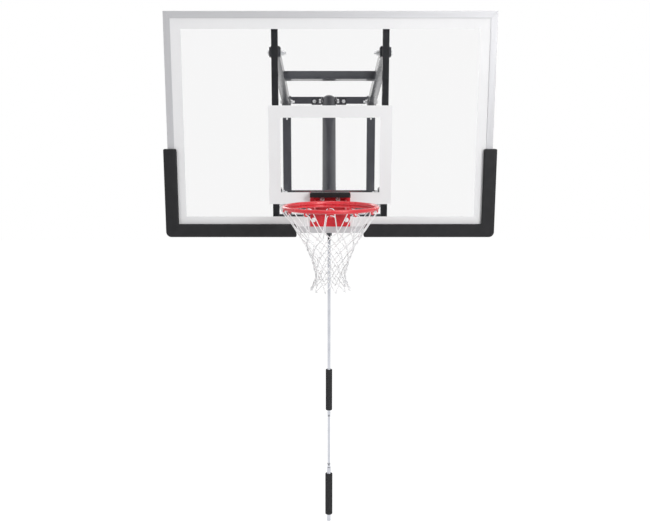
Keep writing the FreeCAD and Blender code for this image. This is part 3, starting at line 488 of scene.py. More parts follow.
def make_finishes(colours):
    """All finishes of the goal, by the record's slot name or by a name of their own.

    The numbers after two colours are the gloss, the matt, the scale of the drift, the scale of
    the grain, the share of pebble in it and the strength of the relief.
    """
    steel, red = tuple(colours.steel_paint), tuple(colours.rim_red)
    pad, grip = tuple(colours.pad_black), tuple(colours.grip_black)
    silver, ink = tuple(colours.frame_silver), tuple(colours.print_white)
    cord = tuple(colours.net_white)
    return {
        "dark_paint": paint("powder_coat", steel, toned(steel, 0.85), 0.08, 1.7),
        "arm_paint": paint("arm_coat", steel, toned(steel, 0.85), 0.26, 2.3),
        # The wall frame's coat is the steel paint made lighter: painted light.
        "wall_paint_painted_light": paint("wall_coat_painted_light", toned(steel, 1.35), toned(steel, 1.15), 0.08, 1.7),
        "zinc": finish("zinc_plate", (0.88, 0.88, 0.89), (0.78, 0.78, 0.80),
                       0.24, 0.36, 60, 900, 0.2, 0.06, Metallic=0.45),
        "bright_cap": finish("bright_zinc", (0.95, 0.95, 0.95), (0.90, 0.90, 0.91),
                             0.22, 0.30, 60, 900, 0.2, 0.05, Metallic=1.0),
        "white_zinc": finish("white_zinc", (0.90, 0.90, 0.90), (0.84, 0.84, 0.85),
                             0.30, 0.40, 60, 900, 0.2, 0.05, Metallic=0.2),
        "bare_steel": finish("oiled_steel", (0.42, 0.41, 0.40), (0.30, 0.29, 0.28),
                             0.26, 0.40, 40, 600, 0.1, 0.08, Metallic=1.0),
        "bright_steel": finish("chrome_plate", (0.54, 0.55, 0.59), (0.48, 0.49, 0.53),
                               0.10, 0.18, 14, 500, 0.0, 0.03, Metallic=1.0),
        "bush": finish("oil_bronze", (0.42, 0.27, 0.12), (0.30, 0.18, 0.08),
                       0.34, 0.46, 70, 900, 0.4, 0.1, Metallic=1.0),
        "black_paint": finish("black_coat", toned(steel, 0.31), toned(steel, 0.26),
                              0.40, 0.48, 9, 700, 0.3, 0.12,
                              Specular_IOR_Level=0.1, Coat_Weight=0.6, Coat_Roughness=0.14),
        "frame": finish("anodised_bar", silver, toned(silver, 0.95),
                        0.44, 0.50, 60, 600, 0.0, 0.10, stretch=(0.04, 1, 1), Metallic=0.25),
        "frame_side": finish("anodised_post", silver, toned(silver, 0.95),
                             0.44, 0.50, 60, 600, 0.0, 0.10, stretch=(1, 1, 0.04), Metallic=0.25),
        "red_paint": finish("red_enamel", red, toned(red, 0.85),
                            0.24, 0.32, 16, 420, 0.2, 0.12, Coat_Weight=0.25, Coat_Roughness=0.12),
        "glass": glass(),
        "white_print": finish("ceramic_ink", ink, toned(ink, 0.985), 0.42, 0.5, 12, 1500, 0.3, 0.05),
        "pad": finish("pad_skin", pad, toned(pad, 0.85),
                      0.48, 0.58, 20, 900, 0.7, 0.22, Specular_IOR_Level=0.15),
        "cover": finish("moulded_black", toned(pad, 0.8), toned(pad, 0.6),
                        0.40, 0.5, 40, 1400, 0.6, 0.15, Specular_IOR_Level=0.15),
        "buffer": finish("buffer_rubber", (0.016, 0.016, 0.017), (0.026, 0.026, 0.027),
                         0.55, 0.68, 60, 1600, 0.5, 0.2),
        "net": finish("net_cord", cord, toned(cord, 0.9), 0.7, 0.82, 90, 1500, 0.3, 0.3),
        "grip": finish("grip_foam", grip, toned(grip, 0.7),
                       0.85, 0.95, 90, 1300, 0.9, 0.5, Specular_IOR_Level=0.2),
        "plug": finish("plug_plastic", (0.012, 0.012, 0.013), (0.02, 0.02, 0.021),
                       0.38, 0.5, 60, 1200, 0.5, 0.12),
    }


FINISH = {}

# CAD nodes whose finish differs from that of their slot.
SPECIAL_FINISH = {
    "left_upright": "black_paint", "right_upright": "black_paint",
    "frame_left": "frame_side", "frame_right": "frame_side",
    "left_upper_arm": "arm_paint", "right_upper_arm": "arm_paint",
    "left_lower_arm": "arm_paint", "right_lower_arm": "arm_paint",
    # The wall frame's lighter coat is painted light on the same steel paint.
    "left_wall_rail": "wall_paint_painted_light", "right_wall_rail": "wall_paint_painted_light",
    "top_wall_crossbar": "wall_paint_painted_light", "bottom_wall_crossbar": "wall_paint_painted_light",
}


# The stage.

CAMERA_SPOT = (-0.0286, -5.5665, 0.187)
CAMERA_TILT = math.radians(79.79)
CAMERA_LENS = 41.43
SENSOR_WIDTH = 36
FLOOR_SIZE = 36
# A lamp's name, place, point looked at, size, share of the key light's power, whether gloss mirrors it.
LAMPS = (
    ("front_lamp", (3.2, -7.5, 2.2), (0, -1.3, 0), 2.6, 1.0, True),
    ("top_lamp", (0.6, -2.2, 4.6), (0, -0.9, 0), 4.0, 0.35, True),
    ("back_lamp", (-3.0, 5.0, 2.6), (0, -0.6, 0), 3.0, 0.4, True),
    ("low_lamp", (-3.2, -6.5, -1.6), (-0.4, -1.4, -0.2), 3.0, 0.14, False),
)
# A mirrored direction's part along Y where gloss finds the room dimmest, and at full strength.
DIM_FRONT, DIM_END = -0.92, -0.35


def lamp(name, spot, look_at, size, power, mirrored):
    """A large soft lamp that looks at a point."""
    deselect()
    bpy.ops.object.light_add(type="AREA", location=spot)
    light = bpy.context.object
    light.name = name
    light.data.shape = "DISK"
    light.data.size = size
    light.data.energy = power
    light.rotation_euler = (Vector(look_at) - Vector(spot)).to_track_quat("-Z", "Y").to_euler()
    light.visible_glossy = mirrored


def white_room(fill, front):
    """White surroundings; gloss finds them dimmer straight in front of the board."""
    world = bpy.data.worlds.new("white_room")
    world.use_nodes = True
    tree = world.node_tree
    link = tree.links.new
    even = tree.nodes["Background"]
    set_sockets(even, Strength=fill)
    white = tree.nodes.new("ShaderNodeBackground")
    gloss = tree.nodes.new("ShaderNodeBackground")
    for light in (even, white, gloss):
        set_sockets(light, Color=WHITE)
    way = tree.nodes.new("ShaderNodeTexCoord")
    parts = tree.nodes.new("ShaderNodeSeparateXYZ")
    link(way.outputs["Generated"], parts.inputs["Vector"])
    dim = tree.nodes.new("ShaderNodeMapRange")
    dim.interpolation_type = "SMOOTHSTEP"
    set_sockets(dim, From_Min=DIM_FRONT, From_Max=DIM_END, To_Min=front, To_Max=1.0)
    link(parts.outputs["Y"], dim.inputs["Value"])
    link(dim.outputs["Result"], gloss.inputs["Strength"])
    path = tree.nodes.new("ShaderNodeLightPath")
    shown = either(tree, path.outputs["Is Camera Ray"], path.outputs["Is Transmission Ray"])
    mirrored = tree.nodes.new("ShaderNodeMath")
    mirrored.operation = "MINIMUM"
    mirrored.inputs[1].default_value = 1.0
    link(path.outputs["Glossy Depth"], mirrored.inputs[0])
    seen = mix_shaders(tree, shown, even, white)
    whole = mix_shaders(tree, mirrored.outputs[0], seen, gloss)
    link(whole.outputs[0], tree.nodes["World Output"].inputs["Surface"])
    return world


def pale_floor():
    """A floor that takes faint shadows, looks white like the room and bounces soft light."""
    material, tree, bounce = new_material("pale_floor")
    set_sockets(bounce, Base_Color=(0.86, 0.86, 0.86, 1), Roughness=0.9, Specular_IOR_Level=0.1)
    shade = tree.nodes.new("ShaderNodeBsdfDiffuse")
    set_sockets(shade, Color=(0.3, 0.3, 0.3, 1))
    glow = tree.nodes.new("ShaderNodeEmission")
    set_sockets(glow, Strength=0.90)
    seen = tree.nodes.new("ShaderNodeAddShader")
    tree.links.new(shade.outputs[0], seen.inputs[0])
    tree.links.new(glow.outputs[0], seen.inputs[1])
    plain = tree.nodes.new("ShaderNodeEmission")
    path = tree.nodes.new("ShaderNodeLightPath")
    last = bounce
    for ray, look in (("Camera", seen), ("Glossy", seen), ("Transmission", plain)):
        last = mix_shaders(tree, path.outputs["Is {} Ray".format(ray)], last, look)
    tree.links.new(last.outputs[0], tree.nodes["Material Output"].inputs["Surface"])
    return material


class GOAL_OT_stage(bpy.types.Operator):
    """Sets the camera, the lamps, the white surroundings and the floor"""

    bl_idname = "goal.stage"
    bl_label = "Stage"

    def execute(self, context):
        stage = context.scene.goal_stage
        scene = context.scene
        scene.view_settings.view_transform = "Standard"
        deselect()
        bpy.ops.object.camera_add(location=CAMERA_SPOT, rotation=(CAMERA_TILT, 0, 0))
        camera = context.object
        camera.name = "photo_camera"
        camera.data.sensor_width = SENSOR_WIDTH
        camera.data.lens = CAMERA_LENS
        scene.camera = camera

        scene.world = white_room(stage.fill_strength, stage.front_dim)
        for name, spot, look_at, size, share, mirrored in LAMPS:
            lamp(name, spot, look_at, size, stage.key_power * share, mirrored)

        deselect()
        bpy.ops.mesh.primitive_plane_add(size=FLOOR_SIZE, location=(0, 0, stage.floor_level))
        floor = named("floor")
        pick(floor)
        bpy.ops.object.transform_apply(location=True, rotation=True, scale=True)
        floor.data.materials.append(pale_floor())
        return {"FINISHED"}


class GOAL_OT_finishes(bpy.types.Operator):
    """Gives every CAD node the finish of its material slot"""

    bl_idname = "goal.finishes"
    bl_label = "Finishes"

    def execute(self, context):
        FINISH.update(make_finishes(context.scene.goal_colours))
        for node in NODES.values():
            slot = node.data.materials[0].name.split(".")[0]
            slot = SPECIAL_FINISH.get(node.name, slot)
            node.data.materials.clear()
            node.data.materials.append(FINISH[slot])
        return {"FINISHED"}


# The edges of CAD nodes.

FLAT_SIDED = (
    "left_wall_rail", "right_wall_rail", "top_wall_crossbar", "bottom_wall_crossbar",
    "left_upper_arm", "right_upper_arm", "left_lower_arm", "right_lower_arm",
    "upper_arm_crossbar", "lower_front_crossbar", "lift_crossbar", "lift_yoke",
    "left_upright", "right_upright", "rim_support_bar", "rear_rim_plate",
    "frame_top", "frame_bottom", "frame_left", "frame_right", "rim_mount_plate",
)
BROKEN_BEND = math.radians(50)


class GOAL_OT_edges(bpy.types.Operator):
    """Breaks the sharp edges of the flat-sided parts with small live bevels"""

    bl_idname = "goal.edges"
    bl_label = "Broken edges"

    def execute(self, context):
        for name in FLAT_SIDED:
            node = NODES[name]
            weld = node.modifiers.new("joined_faces", "WELD")
            weld.merge_threshold = CAD_SEAM
            whole = node.modifiers.new("whole_faces", "DECIMATE")
            whole.decimate_type = "DISSOLVE"
            whole.angle_limit = FLAT
            bevel = node.modifiers.new("broken_edges", "BEVEL")
            bevel.width = context.scene.goal_sizes.edge_break
            bevel.segments = 2
            bevel.limit_method = "ANGLE"
            bevel.angle_limit = BROKEN_BEND
            bevel.harden_normals = True
        return {"FINISHED"}


# The net.

# Hooks, and steps from the first row of knots to the last at the hem.
NET_HOOKS = 12
NET_STEPS = 8
# Degrees round the net from one knot of a leg to its next.
KNOT_TURN = 180 / NET_HOOKS
# Drops below the ring's middle: the top, the first knots, the neck and the hem.
NET_TOP, NET_FIRST, NET_NECK, NET_HEM_DROP = 0.027, 0.145, 0.360, 0.424
# Radii at the neck and at the hem, and how the outline bends above and below the neck.
NET_WAIST, NET_HEM = 0.077, 0.102
NET_TAPER, NET_FLARE = 1.6, 1.5
# How far the cords' ends hang below the hem, and the distance between the points of a cord.
NET_TAIL = 0.002
CORD_STEP = 0.005
# How much lower the hooks under the ring's brace are, and its reach in degrees from the back.
BRACE_STEP = 0.0136
BRACE_REACH = 85
# Half of a loop from the middle of its hook: across, outwards or for the other half inwards, drop.
HALF_LOOP = ((0.010, 0.0066, 0.0178), (0.0175, 0.0058, 0.0220), (0.0215, 0.0038, 0.032),
             (0.0240, 0.0015, 0.051), (0.028, 0.0, 0.082), (0.033, 0.0, 0.115))
LOOP_TOP = 0.0164
# A knot's points and how many of them make a turn.
KNOT_POINTS = 9
KNOT_SIDES = 6
# In cords, a knot's height, its reach outwards and across, and its own cord's thickness.
KNOT_HEIGHT, KNOT_OUT, KNOT_ACROSS, KNOT_CORD = 2.0, 1.05, 0.95, 0.55
# Points of a smooth line between two of those that it goes through.
LINE_PARTS = 24


def net_point(turn, radius, drop, across=0.0):
    """A point of the net by degrees from the ring's front, radius and drop from the ring's middle."""
    angle = math.radians(turn - 90)
    out = Vector((math.cos(angle), math.sin(angle), 0))
    side = Vector((-out.y, out.x, 0))
    return RING_CENTRE + out * radius + side * across - UP * drop


def net_radius(drop):
    """Radius of the net at a drop below the ring."""
    if drop < NET_NECK:
        share = min(1.0, (NET_NECK - drop) / (NET_NECK - NET_TOP))
        return NET_WAIST + share ** NET_TAPER * (RING_RADIUS - NET_WAIST)
    share = (drop - NET_NECK) / (NET_HEM_DROP - NET_NECK)
    return NET_WAIST + share ** NET_FLARE * (NET_HEM - NET_WAIST)


def row_drop(row):
    """Drop of a row of knots."""
    return NET_FIRST + row * (NET_HEM_DROP - NET_FIRST) / NET_STEPS


def hook_place(hook):
    """Turn of a hook in degrees, and how much lower than the front ones it is."""
    middle = hook * 360 / NET_HOOKS
    sunk = BRACE_STEP if abs(180 - middle) < BRACE_REACH else 0.0
    return middle, sunk


def net_leg(hook, side, cord):
    """Points of one leg of a cord, from beside its hook to the hem, woven in and out at each knot."""
    middle, sunk = hook_place(hook)
    points = []
    for across, out, drop in HALF_LOOP:
        lower = drop + sunk * (NET_FIRST - drop) / (NET_FIRST - LOOP_TOP)
        points.append(net_point(middle, net_radius(drop) + side * out, lower, side * across))
    for row in range(NET_STEPS + 1):
        drop = row_drop(row)
        weave = side * (-1) ** row * cord / 2
        turn = middle + side * KNOT_TURN * (row + 1)
        points.append(net_point(turn, net_radius(drop) + weave, drop))
    points.append(points[-1] - UP * NET_TAIL)
    return points


def even_line(points, step):
    """Points at even steps along a smooth line through a list of points.

    A handle that is a sixth of the way between a point's neighbours keeps the line smooth there.
    """
    ends = [points[0], *points, points[-1]]
    fine = [points[0]]
    for before, start, end, after in zip(ends, ends[1:], ends[2:], ends[3:]):
        leave = start + (end - before) / 6
        reach = end - (after - start) / 6
        fine += interpolate_bezier(start, leave, reach, end, LINE_PARTS)[1:]
    line = [fine[0]]
    for spot in fine[1:]:
        while (spot - line[-1]).length > step:
            line.append(line[-1] + (spot - line[-1]).normalized() * step)
    return line


def knot(turn, drop, cord):
    """Points of the cord wrapped once and a third round a crossing."""
    points = []
    for number in range(KNOT_POINTS):
        angle = number * math.tau / KNOT_SIDES
        rise = (number / (KNOT_POINTS - 1) - 0.5) * KNOT_HEIGHT * cord
        radius = net_radius(drop) + KNOT_OUT * cord * math.sin(angle)
        points.append(net_point(turn, radius, drop + rise, KNOT_ACROSS * cord * math.cos(angle)))
    return points


class GOAL_OT_net(bpy.types.Operator):
    """Hangs a net of knotted cord from the twelve hooks"""

    bl_idname = "goal.net"
    bl_label = "Net"

    def execute(self, context):
        cord = context.scene.goal_sizes.net_cord
        net = cord_curve("cord_net", cord, roundness=2)
        net.data.use_fill_caps = True
        for hook in range(NET_HOOKS):
            middle, sunk = hook_place(hook)
            top = net_point(middle, RING_RADIUS, LOOP_TOP + sunk)
            whole = [*reversed(net_leg(hook, -1, cord)), top, *net_leg(hook, 1, cord)]
            line = even_line(whole, CORD_STEP)
            add_line(net, line, [1.0] * len(line))
            for row in range(NET_STEPS + 1):
                wrap = knot(middle + KNOT_TURN * (row + 1), row_drop(row), cord)
                add_line(net, wrap, [KNOT_CORD] * KNOT_POINTS)
        dress(curve_to_mesh(net, smooth=60), FINISH["net"], "rim", "net", "net")
        return {"FINISHED"}


# The pads, grips, buffers and hood, made in place of their CAD nodes.

# How near to a pad's front its front face is, how far in its crown starts and how high that is.
PAD_NEAR = 0.001
PAD_INSET = 0.012
PAD_CROWN = 0.0012
# Sides of a grip, steps of its rounded ends, and places of its rings between them.
GRIP_SIDES = 40
GRIP_STEPS = 4
GRIP_RINGS = (0.0, 0.25, 0.5, 0.75, 1.0)
# A rib of a buffer, as share of its length and sink below the buffer's radius.
RIB_OUTLINE = ((0.15, 0.0022), (0.32, 0.0004), (0.5, 0.0), (0.68, 0.0004), (0.85, 0.0022))
BUFFER_RIBS = 5
BUFFER_SIDES = 32
# How much thinner a buffer is at its ends, and the radius that closes them.
BUFFER_END = 0.003
BUFFER_POINT = 0.0002
# The hood's round edge, and how near to its front and above its foot the edges to round are.
HOOD_EDGE = 0.0025
HOOD_NEAR = 0.0001


def sharp_outside(edge):
    """Whether an edge stands out sharply."""
    return edge.is_manifold and edge.calc_face_angle_signed() > SHARP


class GOAL_OT_pads(bpy.types.Operator):
    """Moulds the two soft pads over the lower corners of the board"""

    bl_idname = "goal.pads"
    bl_label = "Edge pads"

    def execute(self, context):
        round_edge = context.scene.goal_sizes.pad_edge
        for name in SIDES:
            pad = merged_copy(name + "_edge_pad", name + "_pad_skin")
            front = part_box(name + "_edge_pad")[0].y
            edit(pad)
            select_where(pad, "EDGE", sharp_outside)
            bpy.ops.mesh.bevel(
                offset=round_edge, segments=4, profile=0.5, affect="EDGES", clamp_overlap=True)
            select_where(pad, "FACE", lambda f: f.normal.y < -FACING
                         and abs(f.calc_center_median().y - front) < PAD_NEAR)
            bpy.ops.mesh.inset(thickness=PAD_INSET, depth=0.0)
            bpy.ops.transform.translate(value=FORWARD * PAD_CROWN)
            bpy.ops.object.mode_set(mode="OBJECT")
            settle(pad, smooth=35)
            dress(pad, FINISH["pad"], "board", "pad", name + "_edge_pad")
        return {"FINISHED"}


class GOAL_OT_grips(bpy.types.Operator):
    """Turns the two foam grips of the crank"""

    bl_idname = "goal.grips"
    bl_label = "Crank grips"

    def execute(self, context):
        edge = context.scene.goal_sizes.grip_edge
        for node, bore in GRIP_BORES.items():
            low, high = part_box(node)
            middle = (low + high) / 2
            radius, length = (high.x - low.x) / 2, high.z - low.z
            corner = []
            for step in range(1, GRIP_STEPS):
                angle = step * math.pi / (2 * GRIP_STEPS)
                corner.append((radius - edge * (1 - math.sin(angle)), edge * (1 - math.cos(angle))))
            rings = [(bore, 0.0), (radius - edge, 0.0), *corner]
            rings += [(radius, edge + share * (length - 2 * edge)) for share in GRIP_RINGS]
            rings += [(size, length - level) for size, level in reversed(corner)]
            rings += [(radius - edge, length), (bore, length), (bore, 0.0)]
            grip = turned("foam_" + node, rings, GRIP_SIDES, (middle.x, middle.y, low.z))
            dress(grip, FINISH["grip"], node, "grip", node)
        return {"FINISHED"}


class GOAL_OT_buffers(bpy.types.Operator):
    """Turns the two rubber buffers behind the rim"""

    bl_idname = "goal.buffers"
    bl_label = "Rim buffers"

    def execute(self, context):
        low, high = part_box("rim_buffers")
        radius = (high.z - low.z) / 2
        length = high.y - low.y
        rings = [(BUFFER_POINT, 0.0), (radius - BUFFER_END, 0.0)]
        for rib in range(BUFFER_RIBS):
            for share, sink in RIB_OUTLINE:
                rings.append((radius - sink, (rib + share) / BUFFER_RIBS * length))
        rings += [(radius - BUFFER_END, length), (BUFFER_POINT, length)]
        for name, side in SIDES.items():
            spot = (side * (high.x - radius), high.y, (low.z + high.z) / 2)
            buffer = turned(name + "_rubber_buffer", rings, BUFFER_SIDES, spot, FORWARD)
            dress(buffer, FINISH["buffer"], "board", "buffer", "rim_buffers")
            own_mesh(buffer)
        return {"FINISHED"}


class GOAL_OT_hood(bpy.types.Operator):
    """Rounds the moulded hood over the rim's hinge"""

    bl_idname = "goal.hood"
    bl_label = "Hinge hood"

    def execute(self, context):
        hood = merged_copy("rim_cover", "hinge_hood")
        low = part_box("rim_cover")[0]
        edit(hood)
        select_where(hood, "EDGE", lambda e: sharp_outside(e)
                     and all(v.co.y < low.y + HOOD_NEAR for v in e.verts)
                     and all(v.co.z > low.z + HOOD_NEAR for v in e.verts))
        bpy.ops.mesh.bevel(offset=HOOD_EDGE, segments=3, affect="EDGES", clamp_overlap=True)
        bpy.ops.object.mode_set(mode="OBJECT")
        dress(settle(hood, smooth=35), FINISH["cover"], "board", "cover", "rim_cover")
        return {"FINISHED"}


# Plugs in the open ends of the tubes.

# Body, kind and section of the upright tubes.
PLUGGED_POSTS = (
    ("wall_frame", "wall_rail", RAIL_SECTION),
    ("board", "upright", UPRIGHT_SECTION),
)
PLUG_CORNER = 0.004
# The dish in a plug's head and the stem behind it: distance from the rim, then depth or length.
PLUG_DISH = (0.002, 0.0006)
PLUG_STEM = (0.0035, 0.014)
# Shares of the lip: the round of its front edge, where the front begins and where the back ends.
PLUG_ROUND, PLUG_FRONT, PLUG_BACK = 0.45, 0.9, 0.1
# The bend in radians from which an edge is on the rim of the front.
PLUG_BEND = 0.5


def tube_plug(name, section, lip, spot, aim):
    """A moulded square plug whose rounded head closes a tube end."""
    deselect()
    bpy.ops.mesh.primitive_cube_add(size=1)
    plug = named(name)
    plug.scale = (*section, lip)
    bpy.ops.object.transform_apply(location=False, rotation=False, scale=True)
    edit(plug)
    bpy.ops.transform.translate(value=(0, 0, lip / 2))
    select_where(plug, "EDGE", lambda e: abs((e.verts[0].co - e.verts[1].co).z) > lip / 2)
    bpy.ops.mesh.bevel(offset=PLUG_CORNER, segments=3, affect="EDGES")
    select_where(plug, "EDGE", lambda e: all(v.co.z > lip * PLUG_FRONT for v in e.verts)
                 and len(e.link_faces) == 2 and e.calc_face_angle() > PLUG_BEND)
    bpy.ops.mesh.bevel(offset=lip * PLUG_ROUND, segments=3, affect="EDGES")
    select_where(plug, "FACE", lambda f: f.normal.z > FACING)
    bpy.ops.mesh.inset(thickness=PLUG_DISH[0], depth=-PLUG_DISH[1])
    select_where(plug, "FACE", lambda f: f.normal.z < -FACING
                 and f.calc_center_median().z < lip * PLUG_BACK)
    bpy.ops.mesh.inset(thickness=PLUG_STEM[0])
    bpy.ops.mesh.extrude_region_move(TRANSFORM_OT_translate={"value": (0, 0, -PLUG_STEM[1])})
    bpy.ops.object.mode_set(mode="OBJECT")
    along = aim.normalized()
    turn = Matrix((ACROSS, along.cross(ACROSS), along)).transposed()
    plug.matrix_world = Matrix.Translation(spot) @ turn.to_4x4()
    return settle(plug)


class GOAL_OT_plugs(bpy.types.Operator):
    """Closes the open ends of the wall rails, arms and uprights with plugs"""

    bl_idname = "goal.plugs"
    bl_label = "Tube plugs"

    def execute(self, context):
        lip = context.scene.goal_sizes.plug_lip
        for body, post, section in PLUGGED_POSTS:
            for name in SIDES:
                node = "{}_{}".format(name, post)
                low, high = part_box(node)
                middle = (low + high) / 2
                for end, level, aim in (("top", high.z, UP), ("bottom", low.z, -UP)):
                    spot = Vector((middle.x, middle.y, level))
                    plug = tube_plug("{}_{}_plug".format(node, end), section, lip, spot, aim)
                    dress(plug, FINISH["plug"], body, "cover")
        reach = ARM_LENGTH / 2 + ARM_OVERHANG
        for body in ("upper_arms", "lower_arms"):
            for name in SIDES:
                node = "{}_{}".format(name, body[:-1])
                middle = node_middle(node)
                for end, sign in (("front", 1), ("wall", -1)):
                    plug = tube_plug("{}_{}_plug".format(node, end), ARM_SECTION, lip,
                                     middle + ALONG_ARM * sign * reach, ALONG_ARM * sign)
                    dress(plug, FINISH["plug"], body, "cover")
        return {"FINISHED"}


# Welds.

# Shares of a bead: the step from a ripple to the dip beside it, and the thickness in that dip.
BEAD_STEP = 0.55
BEAD_DIP = 0.72
LEVEL = Vector((0, 1, 0))
# The corners of a bar's section in order.
CORNERS = ((-1, -1), (1, -1), (1, 1), (-1, 1))
# Body, its welded bars, their depth and height, and the way the depth runs.
WELDED_BARS = (
    ("wall_frame", ("top_wall_crossbar", "bottom_wall_crossbar"), (0.040, 0.050), LEVEL),
    ("upper_arms", ("upper_arm_crossbar",), (0.050, 0.050), ALONG_ARM),
    ("lower_arms", ("lower_front_crossbar", "lift_crossbar"), (0.050, 0.050), ALONG_ARM),
    ("board", ("rim_support_bar",), (0.036, 0.050), LEVEL),
)


def bead_line(corners, step):
    """Points at even steps round a closed outline of corners."""
    points = []
    for start, end in zip(corners, corners[1:] + corners[:1]):
        count = max(2, round((end - start).length / step))
        points += [start.lerp(end, number / count) for number in range(count)]
    return points


def bar_outlines(node, size, along):
    """Outlines of a bar's section at its two ends; along is the way its depth runs."""
    low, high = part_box(node)
    middle = (low + high) / 2
    second = along.normalized() * size[0] / 2
    third = second.normalized().cross(ACROSS) * size[1] / 2
    outlines = []
    for x in (low.x, high.x):
        centre = Vector((x, middle.y, middle.z))
        outlines.append([centre + second * a + third * b for a, b in CORNERS])
    return outlines


def weld_beads(name, outlines, bead, body):
    """Rippled beads along closed outlines, joined into one piece that stays in front of the wall."""
    piece = cord_curve(name, bead, roundness=1)
    for outline in outlines:
        corners = [Vector((c.x, min(c.y, -bead / 2), c.z)) for c in outline]
        line = bead_line(corners, bead * BEAD_STEP)
        shares = [1.0 if number % 2 else BEAD_DIP for number in range(len(line))]
        add_line(piece, line, shares, closed=True)
    dress(curve_to_mesh(piece, smooth=50), FINISH["dark_paint"], body, "dark_paint")


class GOAL_OT_welds(bpy.types.Operator):
    """Runs weld beads round the ends of the crossbars"""

    bl_idname = "goal.welds"
    bl_label = "Welds"

    def execute(self, context):
        for body, bars, size, along in WELDED_BARS:
            outlines = []
            for node in bars:
                outlines += bar_outlines(node, size, along)
            weld_beads(body + "_welds", outlines, context.scene.goal_sizes.weld_bead, body)
        return {"FINISHED"}


# Bolts and screws.

# A washer's radius, hole and thickness, and its soft edge as a share of that.
WASHER = (0.0165, 0.0075, 0.0024)
WASHER_SOFT = 0.3
# A screw's radius and height.
GLAND_SCREW = (0.0065, 0.0038)
FOLD_SCREW = (0.0040, 0.0014)
CAP_SIDES = 28
SCREW_SIDES = 20
# How deep caps and screws sit in what carries them.
CAP_SINK = 0.0005
GLAND_SINK = 0.0006
FOLD_SINK = 0.0004
# Half the spacing of the rim's upper and lower bolts, and their caps' radius and height.
UPPER_CAP = (0.0435, 0.0085, 0.0080)
LOWER_CAP = (0.092, 0.0120, 0.0040)
GLAND_SCREWS = 8
GLAND_RISE = 0.016
# Steps of a domed head, shares of its radius at foot and point, and the height where its dome starts.
DOME_STEPS = 5
DOME_FOOT, DOME_POINT, DOME_START = 0.96, 0.0004, 0.2


def copies(piece, name, spots):
    """Copies of a piece at other places, joined into it under one name."""
    first = Vector(spots[0])
    group = [piece]
    for spot in spots[1:]:
        twin = piece.copy()
        twin.data = piece.data.copy()
        bpy.context.scene.collection.objects.link(twin)
        twin.location = Vector(spot) - first
        group.append(twin)
    pick(*group)
    bpy.ops.object.transform_apply(location=True, rotation=True, scale=True)
    bpy.ops.object.join()
    return named(name)


def domed(radius, height):
    """Rings of a low round head with a rounded shoulder."""
    rings = [(radius * DOME_FOOT, 0.0), (radius, height * DOME_START)]
    for step in range(1, DOME_STEPS):
        angle = step * math.pi / (2 * DOME_STEPS)
        rise = DOME_START + (1 - DOME_START) * math.sin(angle)
        rings.append((radius * math.cos(angle), height * rise))
    return rings + [(radius * DOME_POINT, height)]


def flange(radius, hole, thickness):
    """Rings of a flat washer with softened edges."""
    soft = thickness * WASHER_SOFT
    return [(hole, 0.0), (radius - soft, 0.0), (radius, soft), (radius, thickness - soft),
            (radius - soft, thickness), (hole, thickness), (hole, 0.0)]


def pivot_washers(body, node, brackets):
    """Washers at both faces of the brackets on a body's pivots."""
    low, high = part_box(node)
    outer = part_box(brackets)[1].x
    middle_y = (low.y + high.y) / 2
    levels = (low.z + BOLT_RADIUS, high.z - BOLT_RADIUS)
    for end, x, way in (("outer", outer, 1), ("inner", 2 * RAIL_HALF - outer, -1)):
        for name, side in SIDES.items():
            spots = [(side * x, middle_y, level) for level in levels]
            piece = turned("washer", flange(*WASHER), CAP_SIDES, spots[0], ACROSS * side * way)
            label = "{}_{}_{}_washers".format(name, end, node.removesuffix("_bolts"))
            piece = copies(piece, label, spots)
            dress(piece, FINISH["zinc"], body, "zinc")


def rim_bolt_caps():
    """Rounded caps on the four bolts of the rim's plate."""
    low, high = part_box("rim_plate_bolts")
    for label, (half, radius, height), level, shine in (
            ("upper", UPPER_CAP, high.z - RIM_BOLT_RADIUS, "bright_cap"),
            ("lower", LOWER_CAP, low.z + RIM_BOLT_RADIUS, "white_zinc")):
        spots = [(side * half, low.y + CAP_SINK, level) for side in SIDES.values()]
        piece = turned("cap", domed(radius, height), CAP_SIDES, spots[0], FORWARD)
        dress(copies(piece, label + "_bolt_caps", spots), FINISH[shine], "board", "zinc")


def gland_screws():
    """Button screws round the lower end of the jack's outer tube."""
    low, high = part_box("jack_outer_tube")
    radius = (high.x - low.x) / 2
    down = Vector((0, -math.sin(JACK_LEAN), -math.cos(JACK_LEAN)))
    out = down.cross(ACROSS)
    foot = Vector((0, low.y + radius * math.cos(JACK_LEAN), low.z + radius * math.sin(JACK_LEAN)))
    screws = []
    for number in range(GLAND_SCREWS):
        angle = (number + 0.5) * math.tau / GLAND_SCREWS
        aim = ACROSS * math.cos(angle) + out * math.sin(angle)
        spot = foot - down * GLAND_RISE + aim * (radius - GLAND_SINK)
        screws.append(turned("screw", domed(*GLAND_SCREW), SCREW_SIDES, spot, aim))
    pick(*screws)
    bpy.ops.object.join()
    dress(named("gland_screws"), FINISH["dark_paint"], "jack_tube", "dark_paint")


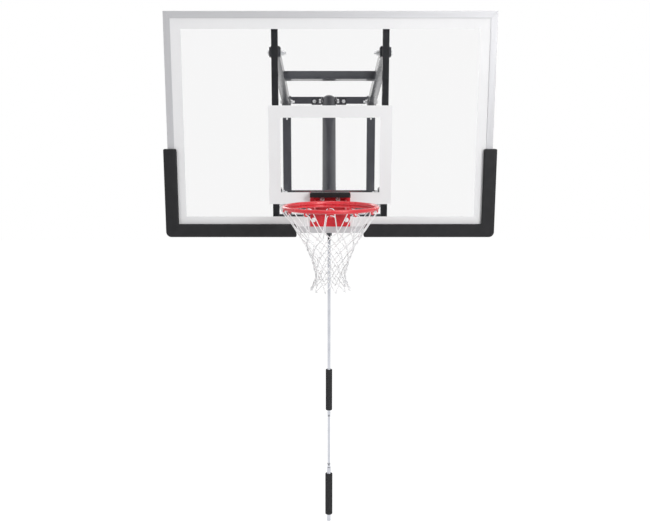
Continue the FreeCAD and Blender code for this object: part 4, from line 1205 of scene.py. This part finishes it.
def fold_shade_screws():
    """Screws in front of the crank's two folds, black as painted shade of the folds."""
    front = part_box("crank_link")[0].y + FOLD_SINK
    spots = [(0, front, node_middle(node).z) for node in ("upper_fold_pin", "lower_fold_pin")]
    piece = turned("screw", domed(*FOLD_SCREW), SCREW_SIDES, spots[0], FORWARD)
    # The plug's black on these screw heads is painted shade of the folds.
    dress(copies(piece, "fold_shade_screws", spots), FINISH["plug"], "crank_link", "cover")


class GOAL_OT_fasteners(bpy.types.Operator):
    """Adds washers to the pivots, caps to the rim's bolts and screws to the gland and the folds"""

    bl_idname = "goal.fasteners"
    bl_label = "Fasteners"

    def execute(self, context):
        pivot_washers("wall_frame", "wall_pivot_bolts", "wall_brackets")
        pivot_washers("board", "board_pivot_bolts", "board_brackets")
        rim_bolt_caps()
        gland_screws()
        fold_shade_screws()
        return {"FINISHED"}


OPERATORS = (GOAL_OT_stage, GOAL_OT_finishes, GOAL_OT_edges, GOAL_OT_net, GOAL_OT_pads, GOAL_OT_grips,
             GOAL_OT_buffers, GOAL_OT_plugs, GOAL_OT_welds, GOAL_OT_fasteners, GOAL_OT_hood)


class GOAL_PT_goal(bpy.types.Panel):
    """Lists the goal's settings and steps"""

    bl_idname = "GOAL_PT_goal"
    bl_label = "Basketball goal"
    bl_space_type = "VIEW_3D"
    bl_region_type = "UI"
    bl_category = "Goal"

    def draw(self, context):
        scene = context.scene
        for settings in (scene.goal_colours, scene.goal_sizes, scene.goal_stage):
            box = self.layout.box()
            for label in settings.__annotations__:
                box.prop(settings, label)
        for operator in OPERATORS:
            self.layout.operator(operator.bl_idname)


SETTINGS = {"goal_colours": GoalColours, "goal_sizes": GoalSizes, "goal_stage": GoalStage}


def register():
    """Registers the settings, the operators and the panel."""
    for kind in (*SETTINGS.values(), *OPERATORS, GOAL_PT_goal):
        bpy.utils.register_class(kind)
    for label, kind in SETTINGS.items():
        setattr(bpy.types.Scene, label, bpy.props.PointerProperty(type=kind))


def unregister():
    """Takes out what register put in."""
    for label in SETTINGS:
        delattr(bpy.types.Scene, label)
    for kind in reversed((*SETTINGS.values(), *OPERATORS, GOAL_PT_goal)):
        bpy.utils.unregister_class(kind)


def main():
    """Runs the steps in order."""
    register()
    for operator in OPERATORS:
        group, step = operator.bl_idname.split(".")
        getattr(getattr(bpy.ops, group), step)()


if __name__ == "__main__":
    main()
